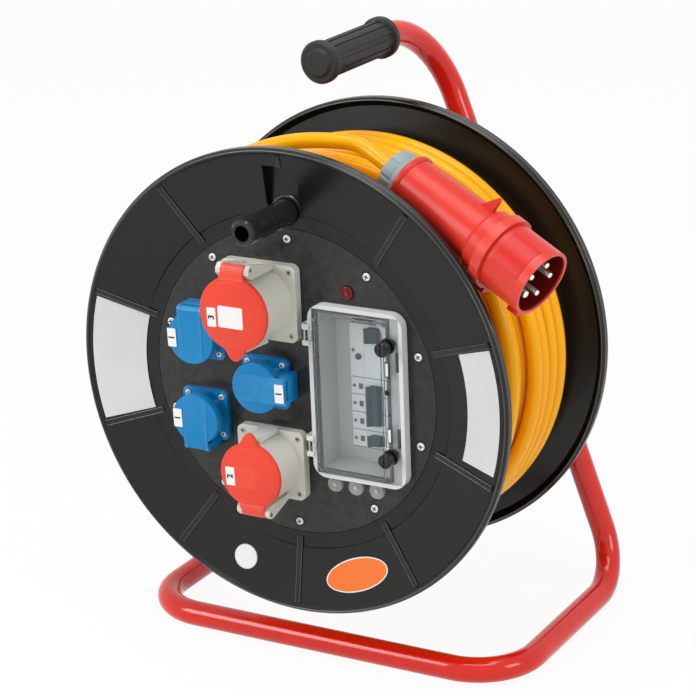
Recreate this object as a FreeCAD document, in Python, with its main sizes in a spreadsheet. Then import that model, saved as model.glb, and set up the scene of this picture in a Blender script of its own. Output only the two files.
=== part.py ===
import FreeCAD, Part
import itertools
import math
import os
import re
import Sketcher
from FreeCAD import Placement, Rotation, Vector

# Extension cable reel on a bent tube stand: a turning drum with a socket panel in its front, 30 m of
# cable on it, and the cable's plug parked on the winding.
# X is to the right seen from the sockets, Y points away from them and Z is up.
# The origin is on the floor, in the middle of the stand and drum.
# Drum pieces are drawn from the drum's own point: on its axis, in the plane of the front flange's edge.

doc = FreeCAD.newDocument("CableReel")
sheet = doc.addObject("Spreadsheet::Sheet", "Sizes")
known_sizes = []
nodes = []


def sizes(values):
    """Write named sizes in the sheet, in millimetres or degrees, one row each."""
    for name, value in values.items():
        row = len(known_sizes) + 1
        sheet.set("A%d" % row, name)
        sheet.set("B%d" % row, str(value))
        sheet.setAlias("B%d" % row, name)
        known_sizes.append(name)
    sheet.recompute()


def formula(text):
    """Turn the size names in a sum into references to the sheet."""
    return re.sub(r"[a-z_]+[a-z_0-9]*", lambda word: "Sizes." + word.group()
                  if word.group() in known_sizes else word.group(), str(text))


def number(text):
    """Work out a sum of named sizes."""
    return float(sheet.evalExpression(formula(text)))


def bind(thing, **sums):
    """Tie properties of an object to sums of named sizes."""
    for name, text in sums.items():
        thing.setExpression(name, formula(text))
    return thing


TURNS = {
    "X": Rotation(Vector(0, 1, 0), 90), "Y": Rotation(Vector(1, 0, 0), -90),
    "Z": Rotation(), "-Y": Rotation(Vector(1, 0, 0), 90), "-Z": Rotation(Vector(1, 0, 0), 180),
}


def place(thing, at=("0", "0", "0"), turn=None):
    """Stand an object at a point given as three sums, turned by a fixed rotation."""
    thing.Placement = Placement(Vector(*[number(text) for text in at]), turn or Rotation())
    for way, text in zip("xyz", at):
        thing.setExpression("Placement.Base." + way, formula(text))
    return thing


def cylinder(name, radius, length, at, along="Z"):
    thing = bind(doc.addObject("Part::Cylinder", name), Radius=radius, Height=length)
    return place(thing, at, TURNS[along])


def cone(name, radius, end_radius, length, at, along="Z"):
    thing = bind(doc.addObject("Part::Cone", name), Radius1=radius, Radius2=end_radius, Height=length)
    return place(thing, at, TURNS[along])


def block(name, width, depth, height, at, turn=None):
    """A box: width along X, depth along Y, height along Z, from its lowest corner."""
    thing = bind(doc.addObject("Part::Box", name), Length=width, Width=depth, Height=height)
    return place(thing, at, turn)


def fuse(name, *shapes):
    thing = doc.addObject("Part::MultiFuse", name)
    thing.Shapes = list(shapes)
    return thing


def cut(name, base, *tools):
    thing = doc.addObject("Part::Cut", name)
    thing.Base = base
    thing.Tool = tools[0] if len(tools) == 1 else fuse(name + "_tools", *tools)
    return thing


def group(name, shapes):
    """Like pieces kept as separate solids in one node."""
    thing = doc.addObject("Part::Compound", name)
    thing.Links = list(shapes)
    return thing


def node(name, thing):
    """Name a finished piece; its label is its file."""
    thing.Label = name
    nodes.append(thing)
    return thing


def plane_of(body, role):
    return [plane for plane in body.Origin.OriginFeatures if plane.Role == role][0]


def draw(body, name, plane, *outlines, lift="0"):
    """A sketch of closed outlines, every corner tied to the sheet, lifted off its plane by a sum.
    An outline is a list of corners (two sums each), or a circle ("circle", u, v, radius)."""
    sketch = body.newObject("Sketcher::SketchObject", name)
    sketch.AttachmentSupport = (plane_of(body, plane), [""])
    sketch.MapMode = "FlatFace"
    sketch.AttachmentOffset = Placement(Vector(0, 0, number(lift)), Rotation())
    sketch.setExpression("AttachmentOffset.Base.z", formula(lift))
    for outline in outlines:
        if outline[0] == "circle":
            centre = Vector(number(outline[1]), number(outline[2]), 0)
            index = sketch.addGeometry(Part.Circle(centre, Vector(0, 0, 1), number(outline[3])), False)
            tie(sketch, index, 3, outline[1], outline[2])
            mark = sketch.addConstraint(Sketcher.Constraint("Radius", index, number(outline[3])))
            sketch.setExpression("Constraints[%d]" % mark, formula(outline[3]))
            continue
        corners = [Vector(number(u), number(v), 0) for u, v in outline]
        count = len(corners)
        first = sketch.GeometryCount
        for step in range(count):
            sketch.addGeometry(Part.LineSegment(corners[step], corners[(step + 1) % count]), False)
        for step in range(count):
            sketch.addConstraint(Sketcher.Constraint(
                "Coincident", first + step, 2, first + (step + 1) % count, 1))
        for step, (u, v) in enumerate(outline):
            tie(sketch, first + step, 1, u, v)
    return sketch


def tie(sketch, index, point, u, v):
    """Hold a sketch point at two sums measured from the sketch's origin."""
    for kind, axis, text in (("DistanceX", -2, u), ("DistanceY", -1, v)):
        if str(text) == "0":
            sketch.addConstraint(Sketcher.Constraint("PointOnObject", index, point, axis))
            continue
        mark = sketch.addConstraint(Sketcher.Constraint(kind, -1, 1, index, point, number(text)))
        sketch.setExpression("Constraints[%d]" % mark, formula(text))


def new_body(name, at=("0", "0", "0"), turn=None):
    return place(doc.addObject("PartDesign::Body", name), at, turn)


def pad(body, sketch, length, both_ways=False, backwards=False):
    feature = body.newObject("PartDesign::Pad", sketch.Name + "_pad")
    feature.Profile = sketch
    feature.Midplane = both_ways
    feature.Reversed = backwards
    bind(feature, Length=length)
    sketch.recompute()
    feature.recompute()
    return feature


def pocket(body, sketch, length, both_ways=False, backwards=False):
    feature = body.newObject("PartDesign::Pocket", sketch.Name + "_pocket")
    feature.Profile = sketch
    feature.Midplane = both_ways
    feature.Reversed = backwards
    bind(feature, Length=length)
    sketch.recompute()
    feature.recompute()
    return feature


def revolve(body, sketch, axis="H_Axis"):
    feature = body.newObject("PartDesign::Revolution", sketch.Name + "_turned")
    feature.Profile = sketch
    feature.ReferenceAxis = (sketch, [axis])
    feature.Angle = 360
    sketch.recompute()
    feature.recompute()
    return feature


def repeat(body, feature, count, role="Y_Axis"):
    """Copies of a feature spaced round one of the body's axes."""
    pattern = body.newObject("PartDesign::PolarPattern", feature.Name + "_ring")
    pattern.Originals = [feature]
    pattern.Axis = (plane_of(body, role), [""])
    pattern.Angle = 360
    bind(pattern, Occurrences=count)
    body.Tip = pattern
    pattern.recompute()
    return pattern


def fillet(body, radius, chosen):
    """Round the edges of the body that a test picks."""
    base = body.Tip
    names = ["Edge%d" % (order + 1) for order, edge in enumerate(base.Shape.Edges) if chosen(edge)]
    feature = body.newObject("PartDesign::Fillet", body.Name + "_round%d" % len(body.Group))
    feature.Base = (base, names)
    bind(feature, Radius=radius)
    body.Tip = feature
    feature.recompute()
    return feature


def runs_along(edge, way):
    """Whether a straight edge runs along a direction."""
    return edge.Curve.TypeId == "Part::GeomLine" and abs(edge.Curve.Direction.dot(way)) > 0.999


def rectangle(low_u, low_v, high_u, high_v):
    return [(low_u, low_v), (high_u, low_v), (high_u, high_v), (low_u, high_v)]


# Stand
# One steel tube, bent: along the floor on both sides and across the front, and up from the rear right
# corner to the grip. A second tube leans from the rear left corner, carries the axle and ends on the first.
STAND_SIZES = {
    "tube_diameter": 25, "tube_wall": 2, "axle_height": 291.9, "base_half_width": 205.6,
    "front_bar_place": 41.7, "leg_place": 305, "corner_bend": 60, "foot_bend": 55, "handle_bend": 85,
    "handle_rise": 291.9, "grip_front": 90, "overrun": 2, "gap": 0.3,
}
sizes(STAND_SIZES)

# Drum: overall sizes of the two moulded flanges and the barrel between them
DRUM_SIZES = {
    "flange_radius": 230, "drum_width": 226, "flange_wall": 4.5, "rim_depth": 12, "rim_step": 3,
    "annulus_edge": 223.6, "annulus_dip": 1.6, "panel_recess": 13, "panel_thickness": 5,
    "panel_radius": 151.2, "panel_seam": 0.6, "step_radius": 166, "step_drop": 1, "shelf_radius": 156,
    "seat_radius": 134, "barrel_radius": 158, "barrel_wall": 4, "rib_count": 10, "rib_width": 5,
    "rib_height": 0.8,
}
sizes(DRUM_SIZES)

# Crank: length from the flange's recess to its open end, which is also the front of the whole reel
CRANK_SIZES = {
    "knob_length": 77.5, "knob_radius": 12.6, "knob_place": 167,
}
sizes(CRANK_SIZES)

FRONT = "(knob_length - panel_recess - leg_place - tube_diameter / 2) / 2"
LEG = "(" + FRONT + " + leg_place)"
FOOT = "tube_diameter / 2"
GRIP_HEIGHT = "(axle_height + handle_rise)"
BACK_PANEL = "(drum_width - panel_recess)"


def on_drum(x, depth, z):
    """A place given from the drum's own point."""
    return (x, "%s + %s" % (FRONT, depth), "axle_height + %s" % z)


def point(*sums):
    return Vector(*[number(text) for text in sums])


def bent_path(corners, radii):
    """Straight runs through the corners, joined by tangent arcs."""
    edges = []
    here = corners[0]
    for before, corner, after, radius in zip(corners, corners[1:], corners[2:], radii):
        arriving = (corner - before).normalize()
        leaving = (after - corner).normalize()
        turn = arriving.getAngle(leaving)
        reach = radius * math.tan(turn / 2)
        inward = (leaving - arriving).normalize()
        start = corner - arriving * reach
        end = corner + leaving * reach
        middle = corner + inward * (radius / math.cos(turn / 2) - radius)
        edges.append(Part.LineSegment(here, start).toShape())
        edges.append(Part.Arc(start, middle, end).toShape())
        here = end
    edges.append(Part.LineSegment(here, corners[-1]).toShape())
    return Part.Wire(edges)


def swept(path, radius, sides=0, turned=0):
    """A round or many-sided bar along a path."""
    start = path.OrderedVertexes[0].Point
    first = path.OrderedEdges[0]
    heading = first.tangentAt(first.FirstParameter)
    low_end, high_end = [first.valueAt(where) for where in (first.FirstParameter, first.LastParameter)]
    if (low_end - start).Length > (high_end - start).Length:
        heading = first.tangentAt(first.LastParameter) * -1
    if sides:
        across = heading.cross(Vector(0, 1, 0)).normalize()
        up = across.cross(heading)
        corners = []
        for side in range(sides + 1):
            angle = 2 * math.pi * (side + turned) / sides
            corners.append(start + across * (radius * math.cos(angle)) + up * (radius * math.sin(angle)))
        profile = Part.makePolygon(corners)
    else:
        profile = Part.Wire([Part.makeCircle(radius, start, heading)])
    shell = Part.BRepOffsetAPI.MakePipeShell(path)
    shell.add(profile)
    shell.build()
    shell.makeSolid()
    return shell.shape()


def tube(name, path):
    """Hollow steel tube along a path. Nothing shows its bore, which has a few flat sides."""
    outside = swept(path, number("tube_diameter / 2"))
    inside = swept(path, number("tube_diameter / 2 - tube_wall"), BORE_SIDES)
    thing = doc.addObject("Part::Feature", name)
    thing.Shape = outside.cut(inside)
    return thing


# The bore's sides, and the length of each bent foot beyond its bend in bend radii
BORE_SIDES = 8
FOOT_REACH_SHARE = 1.2
side = number("base_half_width")
front_bar = number(FRONT + " + front_bar_place")
leg = number(LEG)
foot = number(FOOT)
top = number(GRIP_HEIGHT)
right_rise = (Vector(0, leg, top) - Vector(side, leg, foot)).normalize()
left_rise = (point("0", LEG, "axle_height") - Vector(-side, leg, foot)).normalize()
right_foot = Vector(side, leg, foot)
left_foot = Vector(-side, leg, foot)
foot_reach = number("foot_bend") * FOOT_REACH_SHARE
base_path = bent_path(
    [left_foot + left_rise * foot_reach, left_foot, Vector(-side, front_bar, foot),
     Vector(side, front_bar, foot), right_foot, right_foot + right_rise * foot_reach],
    [number("foot_bend"), number("corner_bend"), number("corner_bend"), number("foot_bend")])
base_tube = node("base_tube", tube("base_tube", base_path))

right_path = bent_path(
    [right_foot + right_rise * foot_reach, Vector(0, leg, top), point("0", FRONT + " + grip_front",
    GRIP_HEIGHT)],
    [number("handle_bend")])
right_leg_tube = node("right_leg_tube", tube("right_leg_tube", right_path))

# The left leg's upper end is coped to the round of the right leg
meeting_length = 2 * side * right_rise.z / (left_rise.x * right_rise.z - left_rise.z * right_rise.x)
left_path = Part.Wire([Part.LineSegment(
    left_foot + left_rise * foot_reach, left_foot + left_rise * meeting_length).toShape()])
left_outside = swept(left_path, number("tube_diameter / 2"))
left_inside = swept(left_path, number("tube_diameter / 2 - tube_wall"), BORE_SIDES)
left_leg_tube = doc.addObject("Part::Feature", "left_leg_tube")
left_leg_tube.Shape = left_outside.cut(left_inside).cut(swept(right_path, number("tube_diameter / 2")))
left_leg_tube.Shape = max(left_leg_tube.Shape.Solids, key=lambda solid: solid.Volume)
node("left_leg_tube", left_leg_tube)

# Axle, fixed to the left leg, with the sleeve and the washer that keep the drum in its place
AXLE_SIZES = {
    "axle_diameter": 25, "axle_front": 88, "hub_front": 100, "hub_back": 246, "spacer_radius": 19,
    "washer_thickness": 2.5, "washer_radius": 21, "pin_radius": 2, "pin_overhang": 4,
    "running_play": 0.05,
}
sizes(AXLE_SIZES)
HUB_END = "(hub_front - bush_flange)"
HUB_SIZES = {
    "bush_length": 22, "bush_flange": 2, "bush_wall": 2.5, "hub_wall": 3, "hub_plate_radius": 46,
    "hub_plate_thickness": 6,
}
sizes(HUB_SIZES)

axle_bar = cylinder("axle_bar", "axle_diameter / 2", "leg_place - axle_front", on_drum("0",
    "axle_front", "0"), "Y")
leg_rounding = doc.addObject("Part::Feature", "leg_rounding")
leg_rounding.Shape = left_outside
PIN_PLACE = "(hub_front - bush_flange - 2 * gap - washer_thickness - pin_radius)"
pin_hole = cylinder("pin_hole", "pin_radius + running_play", "axle_diameter + 2 * overrun",
                    on_drum("-axle_diameter / 2 - overrun", PIN_PLACE, "0"), "X")
axle = node("axle", cut("axle", axle_bar, leg_rounding, pin_hole))

node("axle_pin", cylinder("axle_pin", "pin_radius", "axle_diameter + 2 * pin_overhang",
                          on_drum("-axle_diameter / 2 - pin_overhang", PIN_PLACE, "0"), "X"))


def ring(name, radius, bore, length, at, along="Y"):
    """A plain ring or sleeve."""
    outside = cylinder(name + "_outside", radius, length, at, along)
    inside = cylinder(name + "_inside", bore, length, at, along)
    return cut(name, outside, inside)


node("axle_washer", ring("axle_washer", "washer_radius", "axle_diameter / 2 + running_play",
    "washer_thickness",
                         on_drum("0", HUB_END + " - gap - washer_thickness", "0")))
node("axle_spacer", ring("axle_spacer", "spacer_radius", "axle_diameter / 2",
                         "leg_place - tube_diameter / 2 - hub_back - bush_flange - gap",
                         on_drum("0", "hub_back + bush_flange + gap", "0")))

# Grip: a ribbed rubber sleeve with a flange at each end and a domed, closed front
GRIP_SIZES = {
    "grip_length": 118, "grip_radius": 16.5, "grip_flange_radius": 20.5, "grip_flange": 7,
    "grip_chamfer": 1.5, "grip_cap": 9, "grip_cap_radius": 14, "grip_cap_step": 2.5,
    "grip_rib_count": 12, "grip_rib_width": 3.2, "grip_rib_height": 1.1,
}
sizes(GRIP_SIZES)
grip = new_body("grip", ("0", FRONT + " + grip_front - grip_cap", GRIP_HEIGHT))
grip_outline = draw(grip, "grip_outline", "YZ_Plane", [
    ("0", "0"), ("0", "grip_cap_radius - grip_cap_step"), ("grip_cap_step", "grip_cap_radius"),
    ("grip_cap_step", "grip_flange_radius - grip_cap_step"), ("2 * grip_cap_step", "grip_flange_radius"),
    ("grip_flange + grip_cap_step", "grip_flange_radius"),
    ("grip_flange + grip_cap_step + grip_chamfer", "grip_radius"),
    ("grip_length + grip_cap - grip_flange - grip_chamfer", "grip_radius"),
    ("grip_length + grip_cap - grip_flange", "grip_flange_radius"),
    ("grip_length + grip_cap - grip_chamfer", "grip_flange_radius"),
    ("grip_length + grip_cap", "grip_flange_radius - grip_chamfer"),
    ("grip_length + grip_cap", "tube_diameter / 2"), ("grip_cap", "tube_diameter / 2"), ("grip_cap", "0")])
revolve(grip, grip_outline)
grip_rib = draw(grip, "grip_rib", "YZ_Plane", rectangle(
    "grip_flange + grip_cap_step", "grip_radius - grip_chamfer",
    "grip_length + grip_cap - grip_flange", "grip_radius + grip_rib_height"))
repeat(grip, pad(grip, grip_rib, "grip_rib_width", both_ways=True), "grip_rib_count")
node("handle_grip", grip)


# Flanges
# Each is one moulding: a rolled rim, a dished annulus with ten raised ribs and a flat middle.
def surface(radius):
    """Depth of the dished annulus at a radius, from its open edge."""
    return ("(panel_recess - (panel_recess - annulus_dip) * (%s - shelf_radius)"
            " / (annulus_edge - shelf_radius))" % radius)


SEAT_BACK = "(panel_recess + panel_thickness + flange_wall)"
RIM = [
    ("0", "annulus_edge + rim_step / 2"), ("0", "flange_radius - rim_step"), ("rim_step", "flange_radius"),
    ("rim_depth - rim_step", "flange_radius"), ("rim_depth", "flange_radius - rim_step"),
    (surface("annulus_edge") + " + flange_wall", "annulus_edge - rim_step"),
    (surface("step_radius") + " + flange_wall", "step_radius"),
    (SEAT_BACK, "barrel_radius + barrel_wall"), (SEAT_BACK, "seat_radius"),
]
ANNULUS = [
    ("panel_recess", "shelf_radius"), (surface("step_radius") + " + step_drop", "step_radius"),
    (surface("step_radius"), "step_radius + step_drop"), ("annulus_dip", "annulus_edge"),
]
RIB = [
    (surface("shelf_radius") + " + step_drop", "shelf_radius + rib_height"),
    (surface("shelf_radius") + " - rib_height", "shelf_radius + rib_height"),
    (surface("annulus_edge") + " - rib_height", "annulus_edge - rib_height"),
    (surface("annulus_edge") + " + step_drop", "annulus_edge - rib_height"),
]

# Crank recess in the front flange: a straight-sided pocket that ends round the foot of the knob
CRANK_RECESS_SIZES = {
    "pocket_half_width": 18, "pocket_top": 212, "pocket_floor": 15.5, "pocket_wall": 3,
    "knob_hole_radius": 4, "knob_bevel": 2,
}
sizes(CRANK_RECESS_SIZES)

front = new_body("front", on_drum("0", "0", "0"))
front_outline = draw(front, "front_outline", "YZ_Plane", [
    ("panel_recess + panel_thickness", "seat_radius"),
    ("panel_recess + panel_thickness", "panel_radius + panel_seam"),
    ("panel_recess", "panel_radius + panel_seam")] + ANNULUS + RIM)
revolve(front, front_outline)
front_rib = draw(front, "front_rib", "YZ_Plane", RIB)
repeat(front, pad(front, front_rib, "rib_width", both_ways=True), "rib_count")
tray = draw(front, "tray", "YZ_Plane", [
    (surface("pocket_top + pocket_wall") + " + step_drop", "pocket_top + pocket_wall"),
    ("pocket_floor + pocket_wall", "pocket_top + pocket_wall"),
    ("pocket_floor + pocket_wall", "shelf_radius"),
    (surface("shelf_radius") + " + step_drop", "shelf_radius")])
pad(front, tray, "2 * (pocket_half_width + pocket_wall)", both_ways=True)
pocket_outline = draw(front, "pocket_outline", "XZ_Plane", rectangle(
    "-pocket_half_width", "shelf_radius + pocket_half_width", "pocket_half_width", "pocket_top"))
pocket(front, pocket_outline, "pocket_floor")
well_outline = draw(front, "well_outline", "XZ_Plane", [
    "circle", "0", "shelf_radius + pocket_half_width", "pocket_half_width - rib_height"])
pocket(front, well_outline, "pocket_floor")
knob_room = draw(front, "knob_room", "XZ_Plane", ["circle", "0", "knob_place",
    "knob_radius + knob_bevel / 2"])
pocket(front, knob_room, "pocket_floor")
knob_hole = draw(front, "knob_hole", "XZ_Plane", ["circle", "0", "knob_place",
    "knob_hole_radius + running_play"])
pocket(front, knob_hole, "pocket_floor + pocket_wall + overrun")
node("front_flange", front)


def from_back(outline):
    """The same outline measured from the drum's rear edge."""
    return [("drum_width - (%s)" % depth, radius) for depth, radius in outline]


rear = new_body("rear", on_drum("0", "0", "0"))
rear_outline = draw(rear, "rear_outline", "YZ_Plane", from_back(
    [("panel_recess + panel_thickness", "axle_diameter / 2 + bush_wall + hub_wall"),
     ("panel_recess", "axle_diameter / 2 + bush_wall + hub_wall")] + ANNULUS + RIM
    + [("panel_recess + panel_thickness", "seat_radius")]))
revolve(rear, rear_outline)
rear_rib = draw(rear, "rear_rib", "YZ_Plane", from_back(RIB))
repeat(rear, pad(rear, rear_rib, "rib_width", both_ways=True), "rib_count")
node("rear_flange", rear)

# Barrel between the flanges; the cable lies on it and it houses the wiring
node("drum_barrel", ring("drum_barrel", "barrel_radius", "barrel_radius - barrel_wall",
                         "drum_width - 2 * %s" % SEAT_BACK, on_drum("0", SEAT_BACK, "0")))

# Hub: a steel sleeve with a round plate that is bolted to the rear flange, and a nylon bush at each end
HUB_BOLTS_SIZES = {
    "bolt_count": 4, "bolt_circle": 35, "bolt_head_radius": 5.5, "bolt_head": 4,
}
sizes(HUB_BOLTS_SIZES)
BORE = "(axle_diameter / 2 + running_play)"
SLEEVE_BORE = "(axle_diameter / 2 + bush_wall)"
PLATE_FACE = "(drum_width - panel_recess - panel_thickness)"
hub = new_body("hub", on_drum("0", "0", "0"))
hub_outline = draw(hub, "hub_outline", "YZ_Plane", [
    ("hub_front", SLEEVE_BORE), ("hub_front", SLEEVE_BORE + " + hub_wall"),
    (PLATE_FACE + " - hub_plate_thickness", SLEEVE_BORE + " + hub_wall"),
    (PLATE_FACE + " - hub_plate_thickness", "hub_plate_radius"), (PLATE_FACE, "hub_plate_radius"),
    (PLATE_FACE, SLEEVE_BORE + " + hub_wall"), ("hub_back", SLEEVE_BORE + " + hub_wall"),
    ("hub_back", SLEEVE_BORE)])
revolve(hub, hub_outline)
node("hub_sleeve", hub)


def bush(name, outer_end, inner_way):
    """A flanged nylon bush, pressed into the end of the sleeve."""
    body = new_body(name, on_drum("0", outer_end, "0"))
    outline = draw(body, name + "_outline", "YZ_Plane", [
        ("-%s * bush_flange" % inner_way, BORE),
        ("-%s * bush_flange" % inner_way, SLEEVE_BORE + " + hub_wall"),
        ("0", SLEEVE_BORE + " + hub_wall"), ("0", SLEEVE_BORE), ("%s * bush_length" % inner_way, SLEEVE_BORE),
        ("%s * bush_length" % inner_way, BORE)])
    revolve(body, outline)
    return body


node("hub_bushes", group("hub_bushes", [bush("front_bush", "hub_front", "1"), bush("rear_bush",
    "hub_back", "-1")]))

hub_bolts = []
for turn in range(int(number("bolt_count"))):
    angle = 360 * (turn + 0.5) / number("bolt_count")
    place_x = "bolt_circle * %.4f" % math.cos(math.radians(angle))
    place_z = "bolt_circle * %.4f" % math.sin(math.radians(angle))
    head = bind(doc.addObject("Part::Prism", "bolt_head%d" % turn), Circumradius="bolt_head_radius",
                Height="bolt_head")
    head.Polygon = 6
    hub_bolts.append(place(head, on_drum(place_x, BACK_PANEL, place_z), TURNS["Y"]))
node("hub_bolt_heads", group("hub_bolt_heads", hub_bolts))

# Socket panel: a disc in the flange's recess, with an opening for each thing that is mounted in it
SOCKET_SIZES = {
    "large_x": -28.5, "large_z": 80.5, "large_width": 81, "large_height": 75, "large_reach": 56,
    "large_lid_radius": 36.2, "small_x": -23.5, "small_z": -81, "small_width": 73, "small_height": 69,
    "small_reach": 49, "small_lid_radius": 32.5, "socket_flange": 9, "socket_wall": 3.2,
    "socket_corner": 7, "cup_depth": 26, "insert_gap": 6.5, "lid_bevel": 1.2,
}
sizes(SOCKET_SIZES)
OUTLET_SIZES = {
    "outlet_left": -97.5, "outlet_top": 38.2, "outlet_bottom": -43.4, "outlet_middle_x": -28,
    "outlet_middle_z": -1.6, "outlet_flange": 50, "outlet_flange_thickness": 5, "outlet_corner": 6,
    "outlet_collar_radius": 23.5, "outlet_collar": 17, "outlet_lid": 8, "outlet_bore": 19.5,
    "outlet_block_width": 27, "outlet_block": 32, "outlet_cup": 22,
}
sizes(OUTLET_SIZES)
WINDOW_SIZES = {
    "window_x": 73.5, "window_z": -1, "window_width": 99, "window_height": 171, "window_depth": 10,
    "window_rim": 8, "window_strip": 19, "window_corner": 14, "tub_depth": 41, "tub_wall": 2,
    "slot_width": 46, "slot_low": -62.5, "slot_high": 61,
}
sizes(WINDOW_SIZES)
WINDOW_LEFT = "(window_x - window_width / 2)"
WINDOW_RIGHT = "(window_x + window_width / 2)"
WINDOW_LOW = "(window_z - window_height / 2)"
WINDOW_HIGH = "(window_z + window_height / 2)"


def window_hole(spare):
    """The breaker box's opening, widened by a wall."""
    return rectangle(WINDOW_LEFT + " + window_rim - " + spare, WINDOW_LOW + " + window_rim - " + spare,
                     WINDOW_RIGHT + " - window_strip + " + spare, WINDOW_HIGH + " - window_rim + " + spare)


LAMP_SIZES = {
    "lamp_x": 64.5, "lamp_pitch": 22.5, "lamp_z": -95.3, "lamp_radius": 7.4, "lamp_height": 4,
    "lamp_hole": 5, "warning_x": 62, "warning_z": 96.5, "warning_radius": 6.4, "warning_height": 3,
}
sizes(LAMP_SIZES)
OUTLETS = {
    "left_top": ("outlet_left", "outlet_top", 0),
    "left_bottom": ("outlet_left", "outlet_bottom", 180),
    "middle": ("outlet_middle_x", "outlet_middle_z", 90),
}
LAMPS = [("lamp_x + (%d) * lamp_pitch" % step, "lamp_z") for step in (-1, 0, 1)]

panel = new_body("panel", on_drum("0", "0", "0"))
panel_disc = draw(panel, "panel_disc", "XZ_Plane", ["circle", "0", "0", "panel_radius"])
pad(panel, panel_disc, "panel_recess + panel_thickness", backwards=True)
panel_face = draw(panel, "panel_face", "XZ_Plane", ["circle", "0", "0", "panel_radius + overrun"])
pocket(panel, panel_face, "panel_recess")
openings = [
    ["circle", "large_x", "large_z", "large_lid_radius - lid_bevel - socket_wall + tub_wall"],
    ["circle", "small_x", "small_z", "small_lid_radius - lid_bevel - socket_wall + tub_wall"],
    ["circle", "warning_x", "warning_z", "lamp_hole"],
    window_hole("tub_wall"),
]
openings += [["circle", x, z, "outlet_bore + socket_wall"] for x, z, turn in OUTLETS.values()]
openings += [["circle", x, z, "lamp_hole"] for x, z in LAMPS]
panel_openings = draw(panel, "panel_openings", "XZ_Plane", *openings)
pocket(panel, panel_openings, "panel_recess + panel_thickness + overrun")
node("front_panel", panel)


PANEL_FACE = "panel_recess"


def on_panel(name, x, z, turn=0):
    """A body whose origin is on the panel's face; turn swings its +Z side clockwise."""
    return new_body(name, on_drum(x, PANEL_FACE, z), Rotation(Vector(0, 1, 0), turn))


def shell_outline(reach, radius, wall, cup):
    """Half section of a socket's collar and of its cup behind the panel."""
    return [
        ("-(%s)" % reach, "%s - %s" % (radius, wall)), ("-(%s)" % reach, radius), ("0", radius),
        ("0", radius + " - " + wall + " + tub_wall"), (cup, radius + " - " + wall + " + tub_wall"),
        (cup, "0"), ("%s - tub_wall" % cup, "0"),
        ("%s - tub_wall" % cup, "%s - %s" % (radius, wall)),
    ]


# Three-phase sockets: a grey flanged body, a red sprung lid on a pin between two ears,
# and an insert with five contact holes, its earth hole the wider one
SOCKET_LID_SIZES = {
    "lid_thickness": 5, "strap_width": 25, "ear_width": 5, "pin_height": 6.5, "pin_depth": 7,
    "lid_pin_radius": 2, "knuckle_radius": 4.2, "tab_width": 11, "tab_reach": 10, "key_width": 17,
    "key_height": 5.5, "contact_share": 0.56, "contact_radius": 3.4, "earth_radius": 4.3,
    "insert_drop": 4,
}
sizes(SOCKET_LID_SIZES)


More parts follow.
